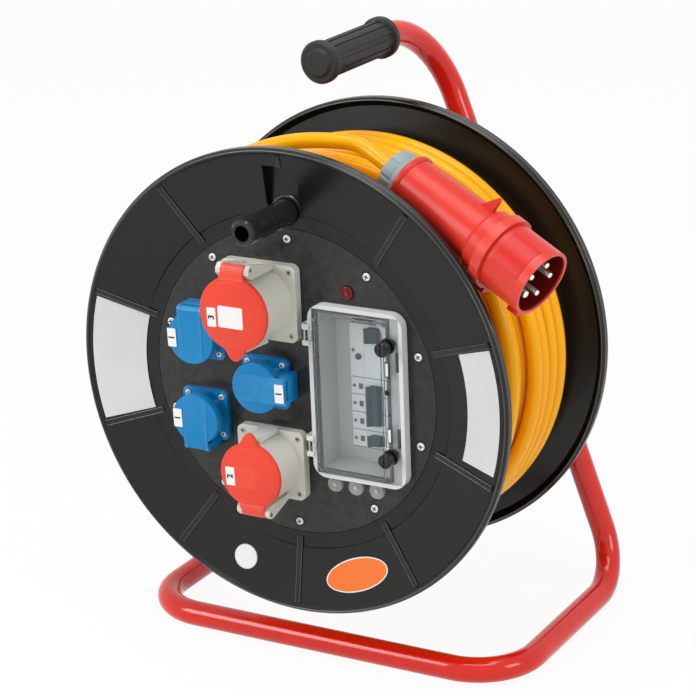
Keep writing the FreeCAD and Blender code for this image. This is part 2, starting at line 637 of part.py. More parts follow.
def three_phase_socket(name, x, z, turn, width, height, reach, radius, cup="cup_depth"):
    collar = "(%s - lid_thickness - gap)" % reach
    outside = "(%s - lid_bevel)" % radius
    pin_v = "(%s + pin_height)" % radius
    pin_u = "-(%s - pin_depth)" % reach
    body = on_panel(name + "_shell", x, z, turn)
    flange = draw(body, name + "_flange", "XZ_Plane", rectangle(
        "-%s / 2" % width, "-%s / 2" % height, "%s / 2" % width, "%s / 2" % height))
    pad(body, flange, "socket_flange")
    fillet(body, "socket_corner", lambda edge: runs_along(edge, Vector(0, 1, 0)))
    revolve(body, draw(body, name + "_collar", "YZ_Plane", shell_outline(collar, outside,
        "socket_wall", cup)))
    ears = draw(body, name + "_ears", "YZ_Plane", [
        ("-socket_flange", outside + " - socket_wall / 2"), ("-socket_flange", "%s / 2" % height),
        (pin_u + " + knuckle_radius", pin_v + " + knuckle_radius"), (pin_u, pin_v + " + knuckle_radius"),
        (pin_u + " - knuckle_radius", pin_v), (pin_u + " - knuckle_radius", pin_v + " - knuckle_radius"),
        ("overrun - " + collar, outside + " - socket_wall / 2")])
    pad(body, ears, "strap_width + 2 * gap + 2 * ear_width", both_ways=True)
    ear_hole = draw(body, name + "_ear_hole", "YZ_Plane", ["circle", pin_u, pin_v, "lid_pin_radius"])
    pocket(body, ear_hole, "strap_width + 2 * (gap + ear_width + overrun)", both_ways=True)
    slot = draw(body, name + "_slot", "YZ_Plane", rectangle(
        "-%s - overrun" % reach, outside + " + gap", "-socket_flange", pin_v + " + knuckle_radius + overrun"))
    pocket(body, slot, "strap_width + 2 * gap", both_ways=True)
    clearing = draw(body, name + "_clearing", "XZ_Plane", ["circle", "0", "0", outside + " - socket_wall"],
                    lift="socket_flange")
    pocket(body, clearing, "socket_flange + %s - tub_wall" % cup)
    key = draw(body, name + "_key", "YZ_Plane", [
        ("-socket_flange", "-%s" % outside), ("-socket_flange", "-%s - key_height" % outside),
        ("-%s + overrun" % collar, "-%s - key_height / 2" % outside),
        ("-%s + overrun" % collar, "-%s" % outside)])
    pad(body, key, "key_width", both_ways=True)
    node(name + "_body", body)

    lid = on_panel(name + "_cap", x, z, turn)
    revolve(lid, draw(lid, name + "_disc", "YZ_Plane", [
        ("-%s - gap" % collar, "0"), ("-%s - gap" % collar, radius), ("-%s + lid_bevel" % reach, radius),
        ("-" + reach, radius + " - lid_bevel"), ("-" + reach, "0")]))
    strap = draw(lid, name + "_strap", "YZ_Plane", [
        ("-%s - gap" % collar, radius + " - pin_height"), ("-" + reach, radius + " - pin_height"),
        ("-" + reach, pin_v), (pin_u, pin_v + " + knuckle_radius"),
        (pin_u + " + knuckle_radius", pin_v), (pin_u, pin_v + " - knuckle_radius"),
        ("-%s - gap" % collar, pin_v + " - knuckle_radius")])
    pad(lid, strap, "strap_width", both_ways=True)
    tab = draw(lid, name + "_tab", "XZ_Plane", [
        ("-tab_width", "-%s + overrun * 2" % radius), ("-tab_width / 2", "-%s - tab_reach" % radius),
        ("tab_width / 2", "-%s - tab_reach" % radius), ("tab_width", "-%s + overrun * 2" % radius)],
        lift="%s + gap" % collar)
    pad(lid, tab, "lid_thickness")
    pin_hole_outline = draw(lid, name + "_pin_hole", "YZ_Plane", [
        "circle", pin_u, pin_v, "lid_pin_radius + running_play"])
    pocket(lid, pin_hole_outline, "strap_width + 2 * overrun", both_ways=True)
    node(name + "_lid", lid)

    insert = on_panel(name + "_core", x, z, turn)
    face = draw(insert, name + "_face", "XZ_Plane", ["circle", "0", "0",
        outside + " - socket_wall - insert_gap"],
                lift="tub_wall - " + cup)
    pad(insert, face, "%s + %s - tub_wall - insert_drop" % (cup, collar))
    holes = []
    for step in range(5):
        angle = math.radians(72 * step)
        place_u = "(%s - socket_wall - insert_gap) * contact_share * %.4f" % (outside, math.sin(angle))
        place_v = "-(%s - socket_wall - insert_gap) * contact_share * %.4f" % (outside, math.cos(angle))
        holes.append(["circle", place_u, place_v, "contact_radius" if step else "earth_radius"])
    contacts = draw(insert, name + "_contacts", "XZ_Plane", *holes)
    pocket(insert, contacts, "%s + overrun" % reach, backwards=True)
    node(name + "_insert", insert)
    along = "-(strap_width / 2 + gap + ear_width)"
    turned = [x + " + " + along, pin_v] if turn == 0 else [x + " + " + along, "-" + pin_v]
    return cylinder(name + "_pin", "lid_pin_radius", "strap_width + 2 * (gap + ear_width)",
                    on_drum(turned[0], "panel_recess + " + pin_u, z + " + " + turned[1]), "X")


large_pin = three_phase_socket("large_socket", "large_x", "large_z", 0, "large_width", "large_height",
                               "large_reach", "large_lid_radius")
small_pin = three_phase_socket("small_socket", "small_x", "small_z", 180, "small_width", "small_height",
                               "small_reach", "small_lid_radius")
node("socket_lid_pins", group("socket_lid_pins", [large_pin, small_pin]))

# Blue outlets: a square flange with a keyhole collar, a well with its contact insert, and a sprung lid
OUTLET_LID_SIZES = {
    "outlet_well": 17.5, "outlet_pin_radius": 1.5, "outlet_pin_inset": 4, "outlet_ear": 3.5,
    "outlet_hole_radius": 2.6, "outlet_hole_pitch": 9.5, "outlet_lip": 4, "outlet_bevel": 1,
    "outlet_land": 2, "outlet_heel": 1.8,
}
sizes(OUTLET_LID_SIZES)


def blue_outlet(name, x, z, turn):
    reach = "(outlet_collar + outlet_lid)"
    body = on_panel(name + "_shell", x, z, turn)
    half = "outlet_flange / 2"
    pad(body, draw(body, name + "_flange", "XZ_Plane", rectangle("-" + half, "-" + half, half, half)),
        "outlet_flange_thickness")
    fillet(body, "outlet_corner", lambda edge: runs_along(edge, Vector(0, 1, 0)))
    pad(body, draw(body, name + "_collar", "XZ_Plane", ["circle", "0", "0", "outlet_collar_radius"]),
        "outlet_collar")
    pad(body, draw(body, name + "_cup", "XZ_Plane", ["circle", "0", "0", "outlet_bore + tub_wall"]),
        "outlet_cup", backwards=True)
    pad(body, draw(body, name + "_hinge_block", "XZ_Plane", rectangle(
        "-outlet_block_width / 2", "0", "outlet_block_width / 2", "outlet_block")), "outlet_collar")
    pin_depth, pin_reach = "-outlet_collar - outlet_pin_inset", "outlet_block - outlet_pin_inset"
    pad(body, draw(body, name + "_ear_foot", "YZ_Plane", rectangle(
        pin_depth, pin_reach + " - outlet_pin_inset", "-outlet_collar", "outlet_block")),
        "outlet_block_width", both_ways=True)
    ear_round = draw(body, name + "_ear_round", "YZ_Plane", ["circle", pin_depth, pin_reach,
        "outlet_pin_inset"])
    pad(body, ear_round, "outlet_block_width", both_ways=True)
    knuckle_room = draw(body, name + "_knuckle_room", "YZ_Plane", rectangle(
        "-%s - overrun" % reach, "0", "-outlet_collar", "outlet_block + overrun"))
    pocket(body, knuckle_room, "outlet_block_width - 2 * outlet_ear", both_ways=True)
    ear_hole = draw(body, name + "_ear_hole", "YZ_Plane", ["circle", pin_depth, pin_reach,
        "outlet_pin_radius"])
    pocket(body, ear_hole, "outlet_block_width - 2 * outlet_bevel", both_ways=True)
    well = draw(body, name + "_well", "XZ_Plane", ["circle", "0", "0", "outlet_bore"], lift="outlet_collar")
    pocket(body, well, "outlet_collar + outlet_cup - tub_wall")
    node(name + "_body", body)

    lid = on_panel(name + "_cap", x, z, turn)
    outer = "(outlet_collar_radius + outlet_land - gap)"
    revolve(lid, draw(lid, name + "_disc", "YZ_Plane", [
        ("-outlet_collar - gap", "0"), ("-outlet_collar - gap", outer),
        ("-%s + outlet_bevel" % reach, outer), ("-" + reach, outer + " - outlet_bevel"), ("-" + reach, "0")]))
    strap = draw(lid, name + "_strap", "YZ_Plane", [
        ("-outlet_collar - gap", "0"), ("-" + reach, "0"), ("-" + reach, "outlet_block - outlet_heel"),
        (pin_depth, "outlet_block - gap"), ("-outlet_collar - gap", pin_reach)])
    pad(lid, strap, "outlet_block_width - 2 * outlet_ear - 2 * gap", both_ways=True)
    pin_seat = draw(lid, name + "_pin_seat", "YZ_Plane", [
        "circle", pin_depth, pin_reach, "outlet_pin_radius + running_play"])
    pocket(lid, pin_seat, "outlet_block_width", both_ways=True)
    lip = draw(lid, name + "_lip", "XZ_Plane", [
        ("-outlet_lip", "-outlet_collar_radius"), ("-outlet_lip", "-%s - outlet_land" % outer),
        ("outlet_lip", "-%s - outlet_land" % outer), ("outlet_lip", "-outlet_collar_radius")],
        lift="outlet_collar + gap")
    pad(lid, lip, "outlet_lid - gap")
    node(name + "_lid", lid)

    insert = on_panel(name + "_core", x, z, turn)
    pad(insert, draw(insert, name + "_face", "XZ_Plane", ["circle", "0", "0", "outlet_bore - gap / 3"],
                     lift="tub_wall - outlet_cup"),
        "outlet_collar + outlet_cup - tub_wall - outlet_well")
    holes = draw(insert, name + "_holes", "XZ_Plane",
                 ["circle", "-outlet_hole_pitch", "0", "outlet_hole_radius"],
                 ["circle", "outlet_hole_pitch", "0", "outlet_hole_radius"], lift="tub_wall")
    pocket(insert, holes, "outlet_cup", backwards=True)
    node(name + "_insert", insert)
    pin_length = "(outlet_block_width - 2 * outlet_bevel)"
    middle = "(outlet_block - outlet_pin_inset)"
    depth = "panel_recess - outlet_collar - outlet_pin_inset"
    if turn == 90:
        return cylinder(name + "_pin", "outlet_pin_radius", pin_length,
                        on_drum(x + " + " + middle, depth, z + " - %s / 2" % pin_length), "Z")
    way = " - " if turn else " + "
    return cylinder(name + "_pin", "outlet_pin_radius", pin_length,
                    on_drum(x + " - %s / 2" % pin_length, depth, z + way + middle), "X")


outlet_pins = [blue_outlet("outlet_" + key, x, z, turn) for key, (x, z, turn) in OUTLETS.items()]
node("outlet_lid_pins", group("outlet_lid_pins", outlet_pins))

# Breaker box: a grey frame with a tub behind it and a slot in the tub's floor for the breakers' fronts
WINDOW_HINGE_SIZES = {
    "seat_rim": 4, "seat_depth": 6, "seal_width": 3, "seal_height": 1.6, "hinge_out": 3.5,
    "hinge_depth": 9, "hinge_radius": 3, "hinge_high": 54, "hinge_low": -56.5, "hinge_strap": 10,
    "hinge_ear": 5, "hinge_pin_radius": 1.5, "latch_x": 109.5, "latch_high": 55, "latch_low": -53.6,
    "latch_hole": 4.2,
}
sizes(WINDOW_HINGE_SIZES)
HINGE_X = "(%s - hinge_out)" % WINDOW_LEFT
LATCHES = {"upper": "latch_high", "lower": "latch_low"}
HINGES = {"upper": "hinge_high", "lower": "hinge_low"}

box = on_panel("box", "0", "0")
pad(box, draw(box, "box_frame", "XZ_Plane", rectangle(WINDOW_LEFT, WINDOW_LOW, WINDOW_RIGHT, WINDOW_HIGH)),
    "window_depth")
fillet(box, "window_corner", lambda edge: runs_along(edge, Vector(0, 1, 0)))
pad(box, draw(box, "box_tub", "XZ_Plane", window_hole("tub_wall")), "tub_depth + tub_wall - panel_recess",
    backwards=True)
seat = draw(box, "box_seat", "XZ_Plane", rectangle(
    WINDOW_LEFT + " + seat_rim", WINDOW_LOW + " + seat_rim", WINDOW_RIGHT + " - seat_rim",
    WINDOW_HIGH + " - seat_rim"), lift="window_depth")
pocket(box, seat, "seat_depth")
inside = draw(box, "box_inside", "XZ_Plane", window_hole("0"), lift="window_depth")
pocket(box, inside, "window_depth + tub_depth - panel_recess")
box_slot = draw(box, "box_slot", "XZ_Plane", rectangle(
    "window_x - slot_width / 2", "slot_low - gap", "window_x + slot_width / 2", "slot_high + gap"))
pocket(box, box_slot, "tub_depth + tub_wall + overrun")
latch_holes = draw(box, "box_latches", "XZ_Plane", *[
    ["circle", "latch_x", height, "latch_hole"] for height in LATCHES.values()], lift="window_depth")
pocket(box, latch_holes, "window_depth - overrun")
for key, height in HINGES.items():
    ear = draw(box, "box_ear_" + key, "XY_Plane", [
        (HINGE_X + " - hinge_radius", "0"), (HINGE_X + " - hinge_radius", "-hinge_depth - hinge_radius / 2"),
        (HINGE_X + " - hinge_radius / 2", "-hinge_depth - hinge_radius"),
        (WINDOW_LEFT + " + seat_rim / 2", "-hinge_depth - hinge_radius"),
        (WINDOW_LEFT + " + seat_rim / 2", "0")],
        lift=height)
    pad(box, ear, "hinge_strap + 2 * (gap + hinge_ear)", both_ways=True)
    ear_room = draw(box, "box_ear_room_" + key, "XY_Plane", [
        (HINGE_X + " - hinge_radius - overrun", "overrun"),
        (HINGE_X + " - hinge_radius - overrun", "-2 * hinge_depth"),
        (WINDOW_LEFT + " + seat_rim", "-2 * hinge_depth"), (WINDOW_LEFT + " + seat_rim", "-window_depth"),
        (WINDOW_LEFT, "-window_depth"), (WINDOW_LEFT, "overrun")], lift=height)
    pocket(box, ear_room, "hinge_strap + 2 * gap", both_ways=True)
    ear_bore = draw(box, "box_ear_bore_" + key, "XY_Plane", [
        "circle", HINGE_X, "-hinge_depth", "hinge_pin_radius"], lift=height)
    pocket(box, ear_bore, "hinge_strap + 2 * (gap + hinge_ear + overrun)", both_ways=True)
node("breaker_box", box)

seal = on_panel("seal", "0", "0")
seal_outside = draw(seal, "seal_outside", "XZ_Plane", window_hole("seal_width"), window_hole("0"),
                    lift="window_depth - seat_depth")
pad(seal, seal_outside, "seal_height")
node("cover_seal", seal)

# Cover: a clear plate in the frame's seat with a shallow dome, two straps to the hinge and two screw bosses
COVER_SIZES = {
    "cover_thickness": 3, "dome_rise": 4.5, "dome_left": 7, "dome_right": 20, "dome_low": 6,
    "dome_high": 8, "dome_wall": 2, "cover_corner": 9, "boss_radius": 6.2, "boss_rise": 4,
    "strap_drop": 1, "slide_width": 12, "slide_length": 44, "slide_rise": 2, "screw_shank": 2.5,
    "screw_neck": 4, "screw_neck_length": 6, "screw_head": 6.75, "screw_head_length": 8,
    "screw_slot": 1.6, "screw_slot_depth": 1.8, "screw_reach": 3.6,
}
sizes(COVER_SIZES)
PLATE_LIFT = "(window_depth - seat_depth + seal_height + gap)"
COVER_FRONT = "(%s + cover_thickness)" % PLATE_LIFT
cover = on_panel("cover", "0", "0")
pad(cover, draw(cover, "cover_plate", "XZ_Plane", rectangle(
    WINDOW_LEFT + " + seat_rim + gap", WINDOW_LOW + " + seat_rim + gap", WINDOW_RIGHT + " - seat_rim - gap",
    WINDOW_HIGH + " - seat_rim - gap"), lift=PLATE_LIFT), "cover_thickness")


def dome(spare):
    return rectangle(WINDOW_LEFT + " + dome_left + " + spare, WINDOW_LOW + " + dome_low + " + spare,
                     WINDOW_RIGHT + " - dome_right - " + spare, WINDOW_HIGH + " - dome_high - " + spare)


pad(cover, draw(cover, "cover_dome", "XZ_Plane", dome("0"), lift=PLATE_LIFT), "cover_thickness + dome_rise")
fillet(cover, "cover_corner", lambda edge: runs_along(edge, Vector(0, 1, 0))
       and abs(edge.Length - number("dome_rise")) < 0.01)
pad(cover, draw(cover, "cover_slide", "XZ_Plane", rectangle(
    "latch_x - slide_width / 2", "window_z - slide_length", "latch_x + slide_width / 2",
        "window_z + slide_length"),
    lift=PLATE_LIFT), "cover_thickness + slide_rise")
pad(cover, draw(cover, "cover_bosses", "XZ_Plane", *[
    ["circle", "latch_x", height, "boss_radius"] for height in LATCHES.values()], lift=PLATE_LIFT),
    "cover_thickness + boss_rise")
for key, height in HINGES.items():
    strap = draw(cover, "cover_strap_" + key, "XY_Plane", [
        (HINGE_X + " - hinge_radius", "hinge_radius / 2 - hinge_depth"),
        (HINGE_X + " - hinge_radius", "-hinge_depth - hinge_radius / 2"),
        (HINGE_X + " - hinge_radius / 2", "-%s - dome_rise + strap_drop" % COVER_FRONT),
        (WINDOW_LEFT + " + dome_left + overrun", "-%s - dome_rise + strap_drop" % COVER_FRONT),
        (WINDOW_LEFT + " + dome_left + overrun", "-window_depth - gap"),
        (HINGE_X + " + hinge_radius", "-window_depth - gap"),
        (HINGE_X + " + hinge_radius", "hinge_radius / 2 - hinge_depth"),
        (HINGE_X + " + hinge_radius / 2", "hinge_radius - hinge_depth"),
        (HINGE_X + " - hinge_radius / 2", "hinge_radius - hinge_depth")], lift=height)
    pad(cover, strap, "hinge_strap", both_ways=True)
    strap_bore = draw(cover, "cover_strap_bore_" + key, "XY_Plane", [
        "circle", HINGE_X, "-hinge_depth", "hinge_pin_radius + running_play"], lift=height)
    pocket(cover, strap_bore, "hinge_strap + overrun", both_ways=True)
hollow = draw(cover, "cover_hollow", "XZ_Plane", dome("dome_wall"), lift=PLATE_LIFT + " - overrun")
pocket(cover, hollow, "cover_thickness + dome_rise - dome_wall + overrun", backwards=True)
screw_bores = draw(cover, "cover_screw_bores", "XZ_Plane", *[
    ["circle", "latch_x", height, "screw_shank + running_play"] for height in LATCHES.values()],
    lift=PLATE_LIFT)
pocket(cover, screw_bores, "cover_thickness + boss_rise + overrun", backwards=True)
node("window_cover", cover)

BOSS_FRONT = "(%s + boss_rise)" % COVER_FRONT
for key, height in LATCHES.items():
    screw = on_panel("screw_" + key, "latch_x", height)
    head_back = "-%s - gap - screw_neck_length" % BOSS_FRONT
    revolve(screw, draw(screw, "screw_outline_" + key, "YZ_Plane", [
        (head_back + " - screw_head_length", "0"),
        (head_back + " - screw_head_length", "screw_head - lid_bevel"),
        (head_back + " - screw_head_length + lid_bevel", "screw_head"), (head_back, "screw_head"),
        (head_back, "screw_neck"), ("-%s - gap" % BOSS_FRONT, "screw_neck"),
        ("-%s - gap" % BOSS_FRONT, "screw_shank"), ("-" + PLATE_LIFT + " + screw_reach", "screw_shank"),
        ("-" + PLATE_LIFT + " + screw_reach", "0")]))
    screw_slot = draw(screw, "screw_slot_" + key, "XY_Plane", rectangle(
        "-screw_slot / 2", head_back + " - screw_head_length - overrun",
        "screw_slot / 2", head_back + " - screw_head_length + screw_slot_depth"))
    pocket(screw, screw_slot, "2 * (screw_head + overrun)", both_ways=True)
    node("cover_screw_" + key, screw)

hinge_pins = [
    cylinder("hinge_pin_" + key, "hinge_pin_radius", "hinge_strap + 2 * (gap + hinge_ear)",
             on_drum(HINGE_X, "panel_recess - hinge_depth", height + " - hinge_strap / 2 - gap - hinge_ear"))
    for key, height in HINGES.items()
]
node("cover_hinge_pins", group("cover_hinge_pins", hinge_pins))

# Residual current switch and two breakers on one rail; their noses stand in the box's slot
BREAKER_SIZES = {
    "nose_face": 34, "nose_width": 45, "device_width": 85, "device_back": 90, "rail_width": 35,
    "rail_thickness": 7.5, "rail_length": 150, "switch_low": 7.5, "switch_high": 60, "triple_low": -45,
    "single_low": -62.2, "lever_hub": 6, "lever_depth": 35, "lever_reach": 11, "lever_finger": 3,
    "lever_angle": 84, "switch_lever_half": 7, "triple_lever_half": 19.5, "single_lever_half": 5,
    "lever_offset": 4, "button_radius": 3, "button_x": 60, "button_z": 28, "button_rise": 1.8,
    "button_bore": 8,
}
sizes(BREAKER_SIZES)
DEVICES = {
    "residual_switch": ("switch_low", "switch_high", "switch_high - switch_lever_half - overrun",
        "switch_lever_half"),
    "triple_breaker": ("triple_low", "switch_low - gap", "(triple_low + switch_low) / 2",
        "triple_lever_half"),
    "single_breaker": ("single_low", "triple_low - gap", "(single_low + triple_low) / 2",
        "single_lever_half"),
}
NOSE_LIFT = "(panel_recess - nose_face)"
LEVER_X = "(window_x + lever_offset)"

for key, (low, high, middle, half) in DEVICES.items():
    device = on_panel(key, "0", "0")
    pad(device, draw(device, key + "_nose", "XZ_Plane", rectangle(
        "window_x - nose_width / 2", low, "window_x + nose_width / 2", high), lift=NOSE_LIFT),
        "tub_depth + tub_wall + gap - nose_face", backwards=True)
    pad(device, draw(device, key + "_case", "XZ_Plane", rectangle(
        "window_x - device_width / 2", low, "window_x + device_width / 2", high),
        lift="panel_recess - tub_depth - tub_wall - gap"), "device_back - tub_depth - tub_wall - gap",
        backwards=True)
    lever_room = draw(device, key + "_lever_room", "XY_Plane", [
        "circle", LEVER_X, "lever_depth - panel_recess", "lever_hub + gap"], lift=middle)
    pocket(device, lever_room, "2 * (%s + gap)" % half, both_ways=True)
    if key == "residual_switch":
        button_room = draw(device, "button_room", "XZ_Plane", [
            "circle", "button_x", "button_z", "button_radius + gap"], lift=NOSE_LIFT)
        pocket(device, button_room, "button_bore", backwards=False)
    node(key, device)

    lever = new_body(key + "_toggle", on_drum(LEVER_X, "lever_depth", middle),
                     Rotation(Vector(0, 0, 1), -number("lever_angle") / 2))
    pad(lever, draw(lever, key + "_hub", "XY_Plane", ["circle", "0", "0", "lever_hub"]), "2 * " + half,
        both_ways=True)
    finger = draw(lever, key + "_finger", "XY_Plane", [
        ("-lever_finger / 2", "-lever_hub / 2"), ("-lever_finger / 2", "-lever_reach"),
        ("lever_finger / 2", "-lever_reach"), ("lever_finger", "-lever_hub / 2")])
    pad(lever, finger, "2 * " + half, both_ways=True)
    node(key + "_lever", lever)

node("test_button", cylinder("test_button", "button_radius", "button_bore + button_rise - 2 * gap - overrun",
                             on_drum("button_x", "nose_face - button_rise", "button_z"), "Y"))
node("din_rail", block("din_rail", "rail_width", "rail_thickness", "rail_length", on_drum(
    "window_x - rail_width / 2", "device_back", "(switch_high + single_low) / 2 - rail_length / 2")))

# Indicator lamps, wiring parts inside the drum and the gland where the cable comes in
INSIDE_SIZES = {
    "lamp_body": 24, "lamp_dome_share": 0.62, "terminal_x": -78, "terminal_z": -22, "terminal_width": 30,
    "terminal_depth": 26, "terminal_height": 70, "cutout_x": -70, "cutout_z": 72, "cutout_radius": 14,
    "cutout_length": 30, "gland_radius": 11, "gland_length": 20,
}
sizes(INSIDE_SIZES)


def lamp(name, x, z, radius, height):
    lens = cone(name + "_lens", radius, radius + " * lamp_dome_share", height, on_drum(x,
        "panel_recess", z), "-Y")
    body = cylinder(name + "_body", "lamp_hole", "lamp_body", on_drum(x, "panel_recess", z), "Y")
    return fuse(name, lens, body)


node("warning_lamp", lamp("warning_lamp", "warning_x", "warning_z", "warning_radius", "warning_height"))
node("phase_lamps", group("phase_lamps", [
    lamp("phase_lamp%d" % step, x, z, "lamp_radius", "lamp_height") for step, (x, z) in enumerate(LAMPS)]))
node("terminal_block", block("terminal_block", "terminal_width", "terminal_depth", "terminal_height", on_drum(
    "terminal_x - terminal_width / 2", PLATE_FACE + " - terminal_depth", "terminal_z - terminal_height / 2")))
node("thermal_cutout", cylinder("thermal_cutout", "cutout_radius", "cutout_length", on_drum(
    "cutout_x", PLATE_FACE + " - cutout_length", "cutout_z"), "Y"))

# Crank knob: a hollow grip on a bolt through the floor of the flange's recess
KNOB_SIZES = {
    "knob_bore": 7.5, "knob_floor": 9, "knob_head": 6, "knob_head_height": 5,
}
sizes(KNOB_SIZES)
KNOB_END = "(pocket_floor - gap)"
knob = new_body("knob", on_drum("0", "0", "knob_place"))
revolve(knob, draw(knob, "knob_outline", "YZ_Plane", [
    ("panel_recess - knob_length", "knob_bore"), ("panel_recess - knob_length", "knob_radius - knob_bevel"),
    ("panel_recess - knob_length + knob_bevel", "knob_radius"), (KNOB_END + " - knob_bevel", "knob_radius"),
    (KNOB_END, "knob_radius - knob_bevel"), (KNOB_END, "knob_hole_radius + running_play"),
    (KNOB_END + " - knob_floor", "knob_hole_radius + running_play"),
    (KNOB_END + " - knob_floor", "knob_bore")]))
node("crank_knob", knob)
bolt = new_body("knob_bolt_body", on_drum("0", "0", "knob_place"))
head_front = KNOB_END + " - knob_floor - gap - knob_head_height"
bolt_end = "pocket_floor + pocket_wall"
revolve(bolt, draw(bolt, "bolt_outline", "YZ_Plane", [
    (head_front, "0"), (head_front, "knob_head"), (KNOB_END + " - knob_floor - gap", "knob_head"),
    (KNOB_END + " - knob_floor - gap", "knob_hole_radius"), (bolt_end, "knob_hole_radius"), (bolt_end, "0")]))
node("knob_bolt", bolt)

# Cable: a plain core for the inner layers, and the outer layer with the plug's tail as one tube.
# It starts in a pocket of the core, runs forwards clockwise and rises over its own loops to the plug.
CABLE_SIZES = {
    "cable_diameter": 15, "winding_pitch": 15.75, "winding_turn_count": 10.5, "winding_rear": 192,
    "winding_front_radius": 183.2, "winding_rear_radius": 196, "cable_bend": 20,
    "winding_end_angle": 165, "core_spare": 0.6, "cable_side_count": 6,
}
sizes(CABLE_SIZES)
CABLE_RISE_SIZES = {
    "plug_x": 86.3, "plug_depth": 64, "plug_z": 203, "plug_droop_angle": 26, "plug_lean_angle": 10.4,
    "rise_radius_a": 186.5, "rise_radius_b": 194.5, "rise_radius_c": 207, "rise_radius_d": 216.5,
    "rise_radius_e": 222, "rise_depth_a": 26.1, "rise_depth_b": 26.3, "rise_depth_c": 31,
    "rise_depth_d": 45.5, "rise_depth_e": 62.5,
}
sizes(CABLE_RISE_SIZES)
RISE_ANGLES = {"a": 150, "b": 135, "c": 120, "d": 105, "e": 90}


def on_winding(radius, degrees, depth):
    """A point given round the drum's axis, anticlockwise from the right."""
    angle = math.radians(degrees)
    return Vector(radius * math.cos(angle), number(FRONT) + depth,
        number("axle_height") + radius * math.sin(angle))


def arc_from(start, heading, end):
    """The edge that leaves a point along a heading and reaches another."""
    chord = end - start
    aside = chord - heading * chord.dot(heading)
    if aside.Length < chord.Length * 1e-6:
        return Part.LineSegment(start, end).toShape()
    centre = start + aside * (chord.dot(chord) / (2 * aside.dot(aside)))
    radius = (start - centre).Length
    middle = centre + ((start - centre) + (end - centre)).normalize() * radius
    return Part.Arc(start, middle, end).toShape()


def biarc(start, heading, end, leaving):
    """Two arcs that join two points, tangent to each other and to both headings."""
    chord = end - start
    both = heading + leaving
    bend = 2 * (1 - heading.dot(leaving))
    across = chord.dot(both)
    if bend < 1e-9:
        reach = chord.dot(chord) / (2 * across)
    else:
        reach = (math.sqrt(across * across + bend * chord.dot(chord)) - across) / bend
    middle = (start + end + (heading - leaving) * reach) / 2
    joint = (end - leaving * reach - start - heading * reach).normalize()
    first = arc_from(start, heading, middle)
    return [first, arc_from(middle, joint, end)]


turns = number("winding_turn_count")
quarters = int(turns * 4)
first_angle = number("winding_end_angle") + 360 * turns
places = []
for step in range(quarters + 1):
    share = step / quarters
    radius = number("winding_rear_radius") * (1 - share) + number("winding_front_radius") * share
    depth = number("winding_rear") - number("winding_pitch") * turns * share
    places.append(on_winding(radius, first_angle - 360 * turns * share, depth))
for key, degrees in RISE_ANGLES.items():
    places.append(on_winding(number("rise_radius_" + key), degrees, number("rise_depth_" + key)))
droop = number("plug_droop_angle")
lean = number("plug_lean_angle")
PLUG_TURN = Rotation(Vector(0, 1, 0), droop) * Rotation(Vector(0, 0, 1), -90 - lean)
plug_axis = PLUG_TURN.multVec(Vector(0, 1, 0))
plug_place = point(*on_drum("plug_x", "plug_depth", "plug_z"))
places.append(plug_place - plug_axis * number("cable_diameter"))


def heading_at(step):
    """Direction of the helix or of the rise at a station, from its neighbours."""
    if step == len(places) - 1:
        return plug_axis
    if step > quarters:
        return (places[step + 1] - places[step - 1]).normalize()
    share = step / quarters
    radius = number("winding_rear_radius") * (1 - share) + number("winding_front_radius") * share
    angle = math.radians(first_angle - 360 * turns * share)
    around = Vector(math.sin(angle), 0, -math.cos(angle)) * (2 * math.pi * radius)
    outward = Vector(math.cos(angle), 0, math.sin(angle))
    narrowing = number("winding_rear_radius - winding_front_radius") / turns
    return (around - outward * narrowing - Vector(0, number("winding_pitch"), 0)).normalize()


bend_radius = number("cable_bend")
first_heading = heading_at(0)
corner = places[0] - first_heading * bend_radius
axis_point = Vector(0, corner.y, number("axle_height"))
outward = (corner - axis_point).normalize()
entry = axis_point + outward * number("barrel_radius")
lead = bend_radius * math.tan(outward.getAngle(first_heading) / 2)
bend_start = corner - outward * lead
bend_end = corner + first_heading * lead
bend_middle = corner + (first_heading - outward).normalize() * (
    bend_radius / math.cos(outward.getAngle(first_heading) / 2) - bend_radius)
start_edges = [
    Part.LineSegment(entry, bend_start).toShape(), Part.Arc(bend_start, bend_middle, bend_end).toShape(),
]
places[0] = bend_end
winding_edges = list(start_edges)
for step in range(len(places) - 1):
    winding_edges += biarc(places[step], heading_at(step), places[step + 1], heading_at(step + 1))
winding_edges.append(Part.LineSegment(places[-1], plug_place).toShape())
winding_path = Part.Wire(winding_edges)

# Steps for measuring how near the winding comes to itself, as shares of the cable's diameter: between
# points along the path, and the length of path beside a point that counts as its own run
GAP_STEP_SHARE = 0.2
GAP_RUN_SHARE = 4


def least_gap(path, width):
    """The least space that a round bar along a path leaves beside itself."""
    points = path.discretize(Distance=width * GAP_STEP_SHARE)
    cells = {}
    for index, place in enumerate(points):
        cell = tuple(int(value // (2 * width)) for value in place)
        cells.setdefault(cell, []).append(index)
    least = path.Length
    for (x, y, z), members in cells.items():
        around = []
        for cell in itertools.product((x - 1, x, x + 1), (y - 1, y, y + 1), (z - 1, z, z + 1)):
            around += cells.get(cell, [])
        for first, second in itertools.product(members, around):
            if second - first > GAP_RUN_SHARE / GAP_STEP_SHARE:
                least = min(least, points[first].distanceToPoint(points[second]))
    return least - width


print("least gap of the winding to itself", round(least_gap(winding_path, number("cable_diameter")), 3), "mm")
winding = doc.addObject("Part::Feature", "cable_winding")
winding.Shape = swept(winding_path, number("cable_diameter / 2"), int(number("cable_side_count")))
node("cable_winding", winding)

